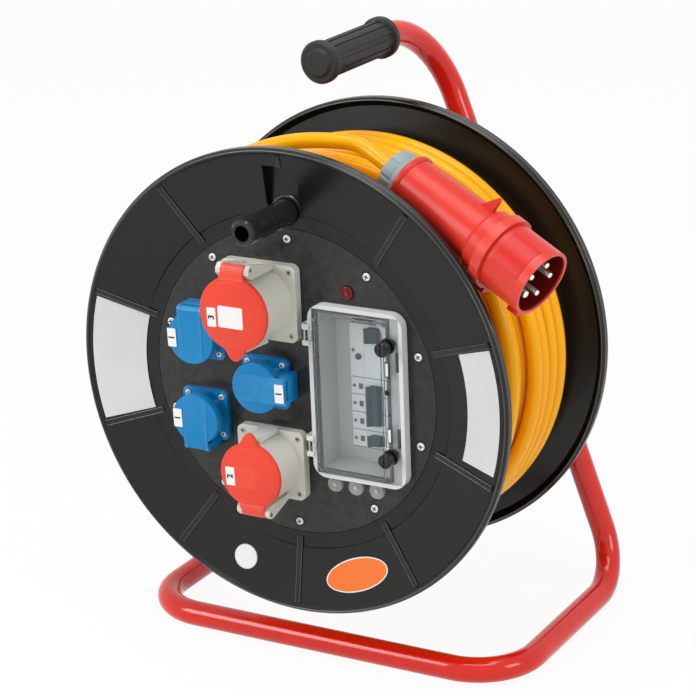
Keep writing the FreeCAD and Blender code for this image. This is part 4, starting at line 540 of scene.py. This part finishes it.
def drawn_in(outline, distance):
    """An outline moved inwards, corner by corner."""
    moved = []
    for before, here, after in zip(outline[-1:] + outline, outline, outline[1:] + outline[:1]):
        arriving = (Vector(here) - Vector(before)).normalized()
        leaving = (Vector(after) - Vector(here)).normalized()
        way = (arriving + leaving).normalized()
        reach = distance / max(0.5, way.dot(leaving))
        moved.append((here[0] - way.y * reach, here[1] + way.x * reach))
    return moved


def prism(mesh, stand, outline, levels):
    """A solid of one outline, taken anticlockwise, at levels of (rise, how far it is drawn in)."""
    loops = [[mesh.verts.new(stand(u, v, rise)) for u, v in drawn_in(outline, inwards)]
             for rise, inwards in levels]
    join_rings(mesh, loops)
    mesh.faces.new(loops[0])
    mesh.faces.new(loops[-1])


def rounded(width, height, corner, steps=5):
    """The outline of a rectangle with round corners."""
    outline = []
    for u, v, start in ((1, 1, 0), (-1, 1, 90), (-1, -1, 180), (1, -1, 270)):
        for step in range(steps + 1):
            turn = math.radians(start + 90 * step / steps)
            outline.append((u * (width / 2 - corner) + corner * math.cos(turn),
                            v * (height / 2 - corner) + corner * math.sin(turn)))
    return outline


def circle(radius, sides=60):
    """The outline of a circle."""
    return [(radius * math.cos(2 * math.pi * side / sides), radius * math.sin(2 * math.pi * side / sides))
            for side in range(sides)]


def screw_heads(name, places, radius, rise, material, body, cross=0.62):
    """Pan heads that face the front, each with a cross recess that holds a dark cross of painted shade.
    Places are x, depth of the seat, and z.
    """
    mesh = bmesh.new()
    shade_mesh = bmesh.new()
    for index, place in enumerate(places):
        stand = facing(*place, math.radians(FIRST_SCREW_TURN + NEXT_SCREW_TURN * index))

        def ring_at(outline, height):
            return [mesh.verts.new(stand(u, v, height)) for u, v in outline]

        loops = [ring_at(circle(radius * wide, SCREW_SIDES), rise * high) for wide, high in PAN_HEAD]
        arm = radius * cross / 4
        recess = [(u * arm, v * arm) for u, v in reversed(CROSS)]
        mouth, base = ring_at(recess, rise), ring_at(recess, rise * 0.35)
        # A dark cross inside the recess: painted shade
        prism(shade_mesh, stand, recess, ((rise * 0.3, 0.02), (rise * 0.7, 0.02)))
        join_rings(mesh, loops)
        join_rings(mesh, (mouth, base))
        mesh.faces.new(base)
        edges = [mesh.edges.get((ring[side], ring[(side + 1) % len(ring)]))
                 for ring in (loops[-1], mouth) for side in range(len(ring))]
        bmesh.ops.triangle_fill(mesh, edges=edges, use_beauty=True)
    mesh_piece(name + "_shade", shade_mesh, SHADE_BLACK, body)
    mesh_piece(name, mesh, material, body)


def lathe(mesh, place, outline, sides=40):
    """Turn an outline of (height towards the front, radius) round the drum's direction at a place on it."""
    stand = facing(*place)
    loops = [[mesh.verts.new(stand(u, v, height)) for u, v in circle(radius, sides)]
             for height, radius in outline]
    join_rings(mesh, loops)
    return loops


def rings_piece(name, places, outline, material, body, sides=40):
    """The same turned ring or cap at several places."""
    mesh = bmesh.new()
    for place in places:
        loops = lathe(mesh, place, outline, sides)
        for end in (loops[0], loops[-1]):
            mesh.faces.new(end)
    return mesh_piece(name, mesh, material, body)


collar_mesh = bmesh.new()
lathe(collar_mesh, KNOB_FOOT, KNOB_COLLAR + KNOB_COLLAR[:1], 56)
mesh_piece("knob_collar", collar_mesh, RIM_BLACK, "drum")
screw_places = [tuple(round_drum(90 + 360 * step / SCREW_COUNT, SCREW_CIRCLE, PANEL_DEPTH))
                for step in range(SCREW_COUNT)]
screw_heads("panel_screws", screw_places, 3.9, 1.5, SCREW_BRIGHT, "drum")
# Dark rings round the panel screws: painted shade of their dimples
rings_piece("panel_screw_dimple_shades", screw_places, DIMPLE_SHADE_RING, SHADE_BLACK, "drum")


# Sockets
# Two flanged three-phase sockets in light grey plastic, each with a sprung red lid on a steel pin. Four
# screws in the corners hold each flange to the panel.
SOCKET_GREY = moulded("socket_plastic", colour(210, 209, 198), colour(200, 199, 188), 0.34, grain=900,
                      rubbed=colour(226, 226, 220), amount=0.5)
LID_RED = moulded("lid_plastic", colour(230, 70, 48), colour(222, 56, 36), 0.26, grain=800,
                  rubbed=colour(255, 140, 120), amount=0.7)
INSERT_DARK = moulded("insert_plastic", colour(72, 52, 50), colour(60, 44, 42), 0.5)
dress(SOCKET_GREY, "large_socket_body", "small_socket_body")
dress(LID_RED, "large_socket_lid", "small_socket_lid")
STRAP_HALF, SPOUT_REACH, SPOUT_HALF_ANGLE, LID_THICK, LID_STEP, KNUCKLE = 12.2, 10, 19, 5, 4.5, 4.2


def lid_outline(radius):
    """A lid's outline: a disc with a smooth spout at the bottom and the strap's two corners at the top."""
    lean = math.degrees(math.asin(STRAP_HALF / radius))
    outline = [(-STRAP_HALF, radius + 1.5), (-STRAP_HALF, radius * math.cos(math.radians(lean)) + 1)]
    for degrees in range(round(lean) + 4, 357 - round(lean), 3):
        aside = abs(degrees - 180) / SPOUT_HALF_ANGLE
        spout = SPOUT_REACH * math.cos(math.pi / 2 * aside) ** 1.6 if aside < 1 else 0
        turn = math.radians(90 + degrees)
        outline.append(((radius + spout) * math.cos(turn), (radius + spout) * math.sin(turn)))
    outline += [(STRAP_HALF, radius * math.cos(math.radians(lean)) + 1), (STRAP_HALF, radius + 1.5)]
    return outline


def knuckle(reach, rise, radius, steps):
    """The outline of a knuckle round a pin, from below it and outwards, in steps of 15 degrees."""
    return [(reach + radius * math.sin(math.radians(15 * step)),
             rise - radius * math.cos(math.radians(15 * step))) for step in range(1, steps + 1)]


def socket_lid(name, place, turn, radius, pin_rise, pin_reach, node, body):
    """A lid with a bevelled edge and a low round step in its face, on a strap that wraps round its pin."""
    mesh = bmesh.new()
    stand = facing(*place, turn)
    prism(mesh, stand, lid_outline(radius), ((0, 0.5), (0.5, 0), (LID_THICK - 1.5, 0),
                                             (LID_THICK - 0.5, 0.45), (LID_THICK, 1.5)))
    prism(mesh, stand, circle(radius - LID_STEP), ((LID_THICK - 0.4, 0), (LID_THICK + 0.25, 0),
                                                   (LID_THICK + 0.5, 0.6)))
    side = [(radius - 6, 0.4), (pin_reach - 2, 0.4), (pin_reach, pin_rise - KNUCKLE)]
    side += knuckle(pin_reach, pin_rise, KNUCKLE, 12)
    side += [(radius + 1, LID_THICK + 0.15), (radius - 3, LID_THICK + 0.1), (radius - 6, LID_THICK - 0.6)]

    def on_strap(u, v, rise):
        """The strap widens where it runs down on to the lid."""
        flare = 1 + 0.2 * swell((pin_reach - 3.5 - u) / (pin_reach - radius + 2))
        return stand((rise - STRAP_HALF) * flare, u, v)

    prism(mesh, on_strap, side, ((0, 0.5), (0.5, 0), (2 * STRAP_HALF - 0.5, 0), (2 * STRAP_HALF, 0.5)))
    lid = mesh_piece(name, mesh, LID_RED, body)
    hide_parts(node)
    return lid


socket_lid("large_lid_cap", (-28.5, -38, 80.5), 0, 36.2, -2, 42.7, "large_socket_lid", "large_lid")
socket_lid("small_lid_cap", (-23.5, -31, -81), math.pi, 32.5, -2, 39, "small_socket_lid", "small_lid")
dress(INSERT_DARK, "large_socket_insert", "small_socket_insert")
dress(STEEL, "socket_lid_pins")
LARGE_SOCKET, LARGE_SCREWS, LARGE_FACE = (-28.5, 80.5), (34.2, 31.2), 4
SMALL_SOCKET, SMALL_SCREWS, SMALL_FACE = (-23.5, -81), (30.2, 28.2), 4
socket_screws = [(x + u * half_width, depth, z + v * half_height)
                 for (x, z), (half_width, half_height), depth in (
                     (LARGE_SOCKET, LARGE_SCREWS, LARGE_FACE), (SMALL_SOCKET, SMALL_SCREWS, SMALL_FACE))
                 for u, v in ((-1, 1), (1, 1), (1, -1), (-1, -1))]
SCREW_GREY = moulded("screw_dull", colour(186, 186, 182), colour(160, 160, 156), 0.38, grain=1500,
                     metallic=0.7)
SCREW_WELL = ((0.02, 4.1), (0.22, 4.0), (0.26, 3.6), (0.05, 3.0))
screw_heads("socket_screws", socket_screws, 2.9, 0.7, SCREW_GREY, "drum")
rings_piece("socket_screw_wells", socket_screws, SCREW_WELL, SOCKET_GREY, "drum")


# Tags
# White number tags stuck on the lids, read from the right, and one bare white plate on the large lid.
TAG_WHITE = moulded("tag_paper", colour(238, 238, 236), colour(228, 228, 226), 0.5, grain=1300)
INK = moulded("ink", colour(22, 22, 24), colour(30, 30, 32), 0.6)
TAG_WIDTH, TAG_HEIGHT, TAG_TILT, DIGIT_LIFT = 9.6, 18.4, math.radians(1.5), 0.38


def plate_piece(name, place, width, height, material, body, thick=0.35, corner=0.8, turn=0):
    """A thin plate with round corners that faces the front. The place is the middle of its back."""
    mesh = bmesh.new()
    prism(mesh, facing(*place, turn), rounded(width, height, corner),
          ((0, 0), (thick * 0.7, 0), (thick, thick * 0.3)))
    return mesh_piece(name, mesh, material, body)


def number_tag(name, digit, place, body):
    """A white tag with a digit that reads upwards."""
    x, depth, z = place
    plate_piece(name, place, TAG_WIDTH, TAG_HEIGHT, TAG_WHITE, body, turn=TAG_TILT)
    text = bpy.data.curves.new(name + "_digit", "FONT")
    text.body = digit
    text.size = 0.0088
    text.extrude = 0.00006
    text.offset = 0.0003
    text.align_x = "CENTER"
    text.align_y = "CENTER"
    text.materials.append(INK)
    figure = bpy.data.objects.new(name + "_digit", text)
    across = Vector((-math.sin(TAG_TILT), 0, math.cos(TAG_TILT)))
    up = Vector((-math.cos(TAG_TILT), 0, -math.sin(TAG_TILT)))
    turn = Matrix((across, up, Vector((0, -1, 0)))).transposed().to_4x4()
    figure.matrix_world = Matrix.Translation(on_drum(x, depth - DIGIT_LIFT, z)) @ turn
    bpy.context.scene.collection.objects.link(figure)
    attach(figure, body)


LARGE_LID_FACE, SMALL_LID_FACE, OUTLET_LID_FACE = -43.5, -36.5, -12.6
number_tag("tag_three", "3", (-51.1, LARGE_LID_FACE, 75.7), "large_lid")
number_tag("tag_two", "2", (-44.7, SMALL_LID_FACE, -83.8), "small_lid")
plate_piece("small_lid_panel", (-27.9, SMALL_LID_FACE + 0.15, -83.6), 22.6, 22.6, LID_RED, "small_lid",
            0.4, 0.6, TAG_TILT)
plate_piece("large_lid_plate", (-30.6, LARGE_LID_FACE, 77.6), 26.6, 20.8, TAG_WHITE, "large_lid",
            corner=1.5)


# Blue outlets
# Three flanged outlets with sprung lids, all in one blue plastic, held by bright screws in their corners.
OUTLET_BLUE = moulded("outlet_plastic", colour(0, 130, 188), colour(0, 116, 176), 0.26, grain=900,
                      rubbed=colour(96, 172, 224), amount=0.7)
dress(OUTLET_BLUE, *["outlet_%s_%s" % (place, part) for place in ("left_top", "left_bottom", "middle")
                     for part in ("body", "insert", "lid")])
dress(STEEL, "outlet_lid_pins")
# Each outlet's middle, its tag's middle and its turn
OUTLETS = {"left_top": ((-97.5, 38.2), (-117.6, 37.5), 0),
           "left_bottom": ((-97.5, -43.4), (-116.5, -43.9), 180),
           "middle": ((-28, -1.6), (-1.1, -3.2), -90)}
OUTLET_LID_BACK, OUTLET_LID_RADIUS, OUTLET_LID_THICK, STRAP_START = -4.3, 25.2, 7.7, 16
BAND_HALF, BAND_RISE, OUTLET_PIN, OUTLET_KNUCKLE, KNUCKLE_HALF = 13.4, 0.6, 28, 3.7, 9.7
BAND_ENDS = {"left_top": 28.6, "left_bottom": 28.6, "middle": 31.8}
# The left lids open further, so their bands stop short of the body's ears but for a tongue between them
EAR_CLEAR, TONGUE_HALF = 27.1, 9.4


def outlet_lid(name, place, turn, band_end, node, body):
    """A round lid with a flat band across it that ends over the hinge, and a knuckle on the pin."""
    mesh = bmesh.new()
    stand = facing(*place, turn)
    prism(mesh, stand, circle(OUTLET_LID_RADIUS), (
        (0, 0.4), (0.4, 0), (OUTLET_LID_THICK - 1.2, 0), (OUTLET_LID_THICK - 0.35, 0.35),
        (OUTLET_LID_THICK, 1.2)))
    reach = OUTLET_LID_RADIUS - 0.7
    lean = math.asin(BAND_HALF / reach)
    band = [(reach * math.sin(lean * step / 6), -reach * math.cos(lean * step / 6)) for step in range(-6, 7)]
    corners = [(BAND_HALF, band_end)]
    if node != "outlet_middle_lid":
        corners = [(BAND_HALF, EAR_CLEAR), (TONGUE_HALF, EAR_CLEAR), (TONGUE_HALF, band_end)]
    band += corners + [(-u, v) for u, v in reversed(corners)]
    prism(mesh, stand, band, ((OUTLET_LID_THICK + 0.06, 0), (OUTLET_LID_THICK + BAND_RISE - 0.25, 0),
                              (OUTLET_LID_THICK + BAND_RISE, 0.25)))
    side = [(STRAP_START, 0.3), (OUTLET_PIN, 0)] + knuckle(OUTLET_PIN, OUTLET_KNUCKLE, OUTLET_KNUCKLE, 8)
    side += [(band_end - 0.2, OUTLET_LID_THICK + 0.03), (STRAP_START, OUTLET_LID_THICK + 0.03)]
    prism(mesh, lambda u, v, rise: stand(rise - KNUCKLE_HALF, u, v), side, ((0, 0), (2 * KNUCKLE_HALF, 0)))
    lid = mesh_piece(name, mesh, OUTLET_BLUE, body)
    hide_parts(node)


OUTLET_FACE, OUTLET_SCREW = 8, 19
outlet_screws = []
for key, ((x, z), tag, turn) in OUTLETS.items():
    outlet_lid(key + "_lid_cap", (x, OUTLET_LID_BACK, z), math.radians(turn), BAND_ENDS[key],
               "outlet_%s_lid" % key, key + "_lid")
    number_tag("tag_" + key, "1", (tag[0], OUTLET_LID_FACE, tag[1]), key + "_lid")
    outlet_screws += [(x + u, OUTLET_FACE, z + v) for u in (-OUTLET_SCREW, OUTLET_SCREW)
                      for v in (-OUTLET_SCREW, OUTLET_SCREW)]
screw_heads("outlet_screws", outlet_screws, 2.9, 1.3, SCREW_BRIGHT, "drum")


# Breaker window
# A light grey frame with a seal, and a smoky clear cover on two hinge pins. A dome over the breakers
# and a latch strip are moulded in the cover, and two black thumb screws hold it shut.
FRAME_GREY = moulded("frame_plastic", colour(216, 217, 214), colour(206, 207, 204), 0.34, grain=900,
                     rubbed=colour(236, 236, 233), amount=0.5)
SEAL_DARK = moulded("seal_rubber", colour(124, 130, 132), colour(112, 118, 120), 0.6, grain=600)
THUMB_BLACK = moulded("thumb_screw_plastic", colour(20, 21, 20), colour(14, 15, 14), 0.22, grain=900,
                      rubbed=colour(120, 120, 118), amount=0.8)
dress(FRAME_GREY, "breaker_box")
dress(SEAL_DARK, "cover_seal")
dress(STEEL, "cover_hinge_pins", "din_rail")
dress(THUMB_BLACK, "cover_screw_upper", "cover_screw_lower")


def clear_plastic(name, tint, roughness, depth=0.00001):
    """A clear moulding: glass of one tint with a slightly uneven surface."""
    drifted = tuple(part * 0.96 for part in tint[:3]) + (1,)
    material, shader, skin = skinned(name, tint, drifted, roughness, 0.03, 90, depth)
    shader.inputs["Transmission Weight"].default_value = 1
    shader.inputs["IOR"].default_value = 1.2
    material.node_tree.links.new(skin.outputs["Colour"], shader.inputs["Base Color"])
    return material


COVER_CLEAR = clear_plastic("cover_smoke", colour(240, 243, 244), 0.03)
dress(COVER_CLEAR, "window_cover")


# Latch strip
# On the cover's strip: two bright slots in dark surrounds, a catch ring and a small hole, two dark claws
# at its outer edge and a black washer under each thumb screw.
BRIGHT_WHITE = moulded("bright_plastic", colour(240, 241, 238), colour(230, 231, 228), 0.3)
STRIP_FACE, PLATE_FACE, BOSS_FACE = 2.1, 4.1, 0.1
for key, x, z in (("upper", 107.2, 31.2), ("lower", 107.9, -33.4)):
    plate_piece("latch_surround_" + key, (x, STRIP_FACE, z), 4.8, 15.6, THUMB_BLACK, "cover",
                0.35, 1.2)
    plate_piece("latch_slot_" + key, (x - 0.2, STRIP_FACE - 0.35, z), 2.6, 12.6, BRIGHT_WHITE, "cover",
                0.4, 0.8)
for key, z in (("upper", 39), ("lower", -35.5)):
    plate_piece("latch_claw_" + key, (117.2, PLATE_FACE, z), 2.9, 19, THUMB_BLACK, "cover",
                1.6, 1)
CATCH_RING = ((0, 2.7), (0.6, 2.6), (0.7, 2.1), (0.1, 1.3))
STRIP_HOLE = ((0, 1.4), (0.15, 1.3), (0.05, 0.7))
rings_piece("latch_catch", [(106.4, STRIP_FACE, 8.7)], CATCH_RING, THUMB_BLACK, "cover", 24)
rings_piece("latch_hole", [(108.7, STRIP_FACE, -13)], STRIP_HOLE, THUMB_BLACK, "cover", 20)
WASHER = ((0, 7.7), (0.7, 7.7), (0.95, 7.4), (0.95, 4.3))
for key, z in (("upper", 55), ("lower", -53.6)):
    rings_piece("thumb_washer_" + key, [(109.5, BOSS_FACE, z)], WASHER, THUMB_BLACK, key + "_screw",
                36)


# Breakers
# The residual current switch and two breakers on their rail behind the window, pale grey with dark
# levers and a dark test button.
DEVICE_GREY = moulded("device_plastic", colour(238, 240, 241), colour(230, 232, 234), 0.42, grain=900)
LAMP_CLEAR_GREY = moulded("sight_plastic", colour(120, 128, 136), colour(104, 112, 120), 0.3)
TOGGLE_DARK = moulded("toggle_plastic", colour(104, 113, 120), colour(92, 101, 108), 0.34, grain=900)
dress(DEVICE_GREY, "residual_switch", "triple_breaker", "single_breaker")
dress(TOGGLE_DARK, "residual_switch_lever", "triple_breaker_lever", "single_breaker_lever", "test_button")
NOSE_FACE, SIGHT_FACE = 34, 33.5
# The lower and upper edge of each module
MODULES = ((7.5, 60), (-9.9, 7.2), (-27.4, -10.2), (-45, -27.7), (-62.2, -45.3))
for index, (low, high) in enumerate(MODULES):
    middle = (low + high) / 2
    plate_piece("module_face_%d" % index, (58.8, NOSE_FACE, middle), 14.4, high - low - 2.2, BRIGHT_WHITE,
                "drum", 0.5, 1)
    plate_piece("module_seam_%d" % index, (73.5, NOSE_FACE, low), 44, 0.7, SEAL_DARK, "drum",
                0.2, 0.2)
    if index:
        plate_piece("module_sight_%d" % index, (61.5, SIGHT_FACE, middle), 4.4, 5.6, LAMP_CLEAR_GREY,
                    "drum", 0.3, 0.5)
module_screws = [(54.4, SIGHT_FACE, (low + high) / 2) for low, high in MODULES]
screw_heads("module_screws", module_screws, 1.9, 0.6, SCREW_GREY, "drum")


# Lamps
# One red warning lamp above the window, and three milky ones below it, whose lenses have rings moulded
# in. Each sits in a dark rubber ring.
LAMP_RED = moulded("lamp_red_plastic", colour(128, 14, 30), colour(110, 10, 24), 0.12, grain=700,
                   specular=0.6)
LAMP_CLEAR = moulded("lamp_clear_plastic", colour(178, 180, 176), colour(160, 162, 158), 0.1, grain=700,
                     specular=0.7)
# Shares of a lamp's height and radius, and for its ring millimetres and shares of the radius
LENS = ((0, 1), (0.6, 1), (0.86, 0.95), (0.92, 0.86), (0.6, 0.78), (0.55, 0.7), (0.84, 0.63), (0.9, 0.54),
        (0.6, 0.47), (0.56, 0.4), (0.9, 0.33), (1, 0.2), (1.02, 0.05))
LAMP_RING = ((-0.1, 1.14), (0.5, 1.13), (0.7, 1.08), (0.6, 1.01))
LAMP_SIDES = 48
PHASE_LAMPS = [(x, PANEL_DEPTH, -95.3) for x in (42, 64.5, 87)]
for name, ring_name, node, places, radius, height, plastic, slot, rubber in (
        ("warning_lens", "warning_lamp_ring", "warning_lamp", [(62, PANEL_DEPTH, 96.5)], 6.4, 3,
         LAMP_RED, "lamp_red", SHADE_BLACK),
        ("phase_lenses", "phase_lamp_rings", "phase_lamps", PHASE_LAMPS, 7.4, 4,
         LAMP_CLEAR, "lamp_clear", SEAL_DARK)):
    lenses = rings_piece(name, places, [(rise * height, share * radius) for rise, share in LENS],
                         plastic, "drum", LAMP_SIDES)
    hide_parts(node)
    rings_piece(ring_name, places, [(rise, share * radius) for rise, share in LAMP_RING], rubber, "drum",
                LAMP_SIDES)


# Plug
# A red five-pin plug with a rounded rim behind and a lobed grey gland nut. Its nickelled pins stand in a
# dark face at the bottom of a deep shroud, whose bore holds a thin dark red sleeve of painted shade. The
# cable is clamped in the nut.
PLUG_RED = moulded("plug_plastic", colour(216, 56, 42), colour(204, 46, 34), 0.3, grain=800,
                   rubbed=colour(250, 130, 112), amount=0.7)
PLATE_RED = moulded("plug_plate_plastic", colour(206, 34, 22), colour(194, 28, 18), 0.36, grain=700)
NUT_GREY = moulded("nut_plastic", colour(150, 163, 166), colour(136, 151, 156), 0.44, grain=800,
                   rubbed=colour(186, 196, 198), amount=0.6)
PIN_NICKEL = moulded("pin_nickel", colour(252, 248, 238), colour(240, 236, 224), 0.14, grain=1500,
                     metallic=0.9)
# Painted shade: a dark red for the inside of the deep shroud
SHROUD_PAINTED_SHADE = moulded("shroud_painted_shade", colour(104, 14, 10), colour(88, 10, 8), 0.34, grain=700)
dress(PLUG_RED, "plug_body")
PLUG_SIDE, PLUG_UP = Vector((-0.1622, -0.9836, 0.0791)), Vector((0.4384, 0, 0.8988))
SHROUD_RADIUS, PLATE_TURN, PLATE_SPAN, PLATE_BACK, PLATE_FRONT = 32.5, 40, 30, 146, 177
NUT_LOBES, NUT_SIDES, PLATE_STEPS = 8, 96, 8
PIN_COUNT, PIN_CIRCLE, PIN_RADIUS, EARTH_RADIUS, FIRST_PIN, PIN_BACK, PIN_TIP = 5, 16.7, 3, 3.8, 314, 141, 183
PIN_SIDES = 28


def beside_plug(side, up, along):
    """A place by the plug's line: how far to its front side, how far up and how far along it."""
    return on_drum(*(PLUG_PLACE + PLUG_WAY * along + PLUG_SIDE * side + PLUG_UP * up))


def turned_on_plug(mesh, outline, middle=(0, 0), sides=64, closed=False):
    """Turn an outline of (along, radius), or with a lobe's rise too, round a line beside the plug's own."""
    loops = []
    for along, radius, *lobe in outline:
        ring = []
        for side in range(sides):
            turn = 2 * math.pi * side / sides
            reach = radius + (lobe[0] if lobe and side * NUT_LOBES % sides >= sides / 6 else 0)
            ring.append(mesh.verts.new(beside_plug(
                middle[0] + reach * math.cos(turn), middle[1] + reach * math.sin(turn), along)))
        loops.append(ring)
    join_rings(mesh, loops + loops[:1] if closed else loops)
    if not closed:
        mesh.faces.new(loops[0])
        mesh.faces.new(loops[-1])


nut_mesh = bmesh.new()
turned_on_plug(nut_mesh, ((0, 8.3), (0, 19.2), (0.6, 20.2, 0.3), (1.6, 20.8, 1.1), (12.6, 21.2, 1.3),
                          (13.6, 21.6, 0.6), (14.2, 22.4), (15, 23), (19.4, 23.4), (19.9, 23),
                          (19.9, 8.3)), sides=NUT_SIDES, closed=True)
plug_nut = mesh_piece("plug_nut", nut_mesh, NUT_GREY, "drum")
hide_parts("plug_gland_nut")

rim_mesh = bmesh.new()
turned_on_plug(rim_mesh, ((20.1, 25), (20.1, 26.9), (20.8, 27.7), (22, 28.1), (23.4, 28.1), (24.8, 27.7),
                          (25.8, 26.9), (26.3, 25)), closed=True)
plug_rim = mesh_piece("plug_rim", rim_mesh, PLUG_RED, "drum", 50)

# A thin dark red sleeve in the shroud's bore: painted shade
shade_sleeve_mesh = bmesh.new()
turned_on_plug(shade_sleeve_mesh, ((147.1, 29.5), (184.2, 29.5), (184.2, 29.2), (147.1, 29.2)), closed=True)
plug_shade_sleeve = mesh_piece("plug_shade_sleeve", shade_sleeve_mesh, SHROUD_PAINTED_SHADE, "drum")

face_mesh = bmesh.new()
turned_on_plug(face_mesh, ((141.2, 29.1), (146.4, 29.1), (147, 28.5), (147, 8), (149, 7.4)))
plug_face = mesh_piece("plug_face", face_mesh, INSERT_DARK, "drum")
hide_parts("plug_insert")

pins_mesh = bmesh.new()
for pin in range(PIN_COUNT):
    pin_turn = math.radians(FIRST_PIN + 360 / PIN_COUNT * pin)
    thick = PIN_RADIUS if pin else EARTH_RADIUS
    turned_on_plug(pins_mesh, ((PIN_BACK, thick), (PIN_TIP - 1.6, thick), (PIN_TIP - 0.7, thick - 0.35),
                               (PIN_TIP - 0.1, thick - 1), (PIN_TIP, thick - 1.7)),
                   (PIN_CIRCLE * math.cos(pin_turn), PIN_CIRCLE * math.sin(pin_turn)), PIN_SIDES)
plug_pin_set = mesh_piece("plug_pin_set", pins_mesh, PIN_NICKEL, "drum", 50)
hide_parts("plug_pins")


def sheet(mesh, grids):
    """A thin sheet between two like grids of places, with its edges closed."""
    under, over = [[[mesh.verts.new(place) for place in row] for row in grid] for grid in grids]
    rows, columns = len(under), len(under[0])
    for grid in (under, over):
        for row in range(rows - 1):
            for column in range(columns - 1):
                mesh.faces.new((grid[row][column], grid[row][column + 1], grid[row + 1][column + 1],
                                grid[row + 1][column]))
    edge = [(0, column) for column in range(columns)] + [(row, columns - 1) for row in range(1, rows)]
    edge += [(rows - 1, column) for column in range(columns - 2, -1, -1)]
    edge += [(row, 0) for row in range(rows - 2, 0, -1)]
    for (row, column), (next_row, next_column) in zip(edge, edge[1:] + edge[:1]):
        mesh.faces.new((under[row][column], under[next_row][next_column], over[next_row][next_column],
                        over[row][column]))


plate_mesh = bmesh.new()
plate_turns = [math.radians(PLATE_TURN + PLATE_SPAN * step / PLATE_STEPS)
               for step in range(-PLATE_STEPS, PLATE_STEPS + 1)]
sheet(plate_mesh, [[[beside_plug(radius * math.cos(turn), radius * math.sin(turn), along)
                     for turn in plate_turns] for along in (PLATE_BACK, PLATE_FRONT)]
                   for radius in (SHROUD_RADIUS - 0.3, SHROUD_RADIUS + 0.5)])
plug_plate = mesh_piece("plug_plate", plate_mesh, PLATE_RED, "drum")


# Labels
# Bare pale labels on the front flange's dished face: a long one on each side between two ribs, a round
# one and an orange oval one below.
LABEL_PALE = moulded("label_film", colour(212, 214, 212), colour(198, 201, 200), 0.36, grain=1300)
STICKER_ORANGE = moulded("sticker_orange", colour(240, 124, 52), colour(230, 110, 42), 0.4, grain=1300)


def film(name, grid, material, thick=0.25):
    """A thin film on the dished face, from rows of (x, z) places."""
    mesh = bmesh.new()
    sheet(mesh, [[[on_drum(x, dish_depth(math.hypot(x, z)) - lift, z) for x, z in row] for row in grid]
                 for lift in (-0.2, thick)])
    return mesh_piece(name, mesh, material, "drum")


def arc_grid(start, end, inner, outer, rows=8, columns=36):
    """Places of a label between two angles and two radii."""
    turns = [math.radians(start + (end - start) * column / columns) for column in range(columns + 1)]
    return [[(radius * math.cos(turn), radius * math.sin(turn)) for turn in turns]
            for radius in (inner + (outer - inner) * row / rows for row in range(rows + 1))]


def oval_film(name, centre, half_width, half_height, material, tilt=0, thick=0.25, sides=48, rings=5):
    """A round or oval film on the dished face."""
    mesh = bmesh.new()
    x, z = centre

    def corner(share, turn, lift):
        u, v = half_width * share * math.cos(turn), half_height * share * math.sin(turn)
        u, v = x + u * math.cos(tilt) - v * math.sin(tilt), z + u * math.sin(tilt) + v * math.cos(tilt)
        return mesh.verts.new(on_drum(u, dish_depth(math.hypot(u, v)) - lift, v))

    turns = [2 * math.pi * side / sides for side in range(sides)]
    loops = [[corner(1, turn, -0.2) for turn in turns]]
    loops += [[corner(ring / rings, turn, thick) for turn in turns] for ring in range(rings, 0, -1)]
    join_rings(mesh, loops)
    mesh.faces.new(loops[0])
    mesh.faces.new(loops[-1])
    return mesh_piece(name, mesh, material, "drum")


film("label_left", arc_grid(163.4, 196.6, 165, 221), LABEL_PALE)
film("label_right", arc_grid(-15, 16.8, 186, 221), LABEL_PALE)
ROUND_PLACE, OVAL_PLACE, OVAL_TILT = (-59.4, -186.4), (64.8, -183), math.radians(22.5)
oval_film("label_round_rim", ROUND_PLACE, 12.4, 12.4, LABEL_PALE)
oval_film("label_round", ROUND_PLACE, 11.6, 11.6, TAG_WHITE, thick=0.3)
oval_film("label_oval_rim", OVAL_PLACE, 36, 16, TAG_WHITE, tilt=OVAL_TILT)
oval_film("label_oval", OVAL_PLACE, 34.9, 14.9, STICKER_ORANGE, tilt=OVAL_TILT, thick=0.32)
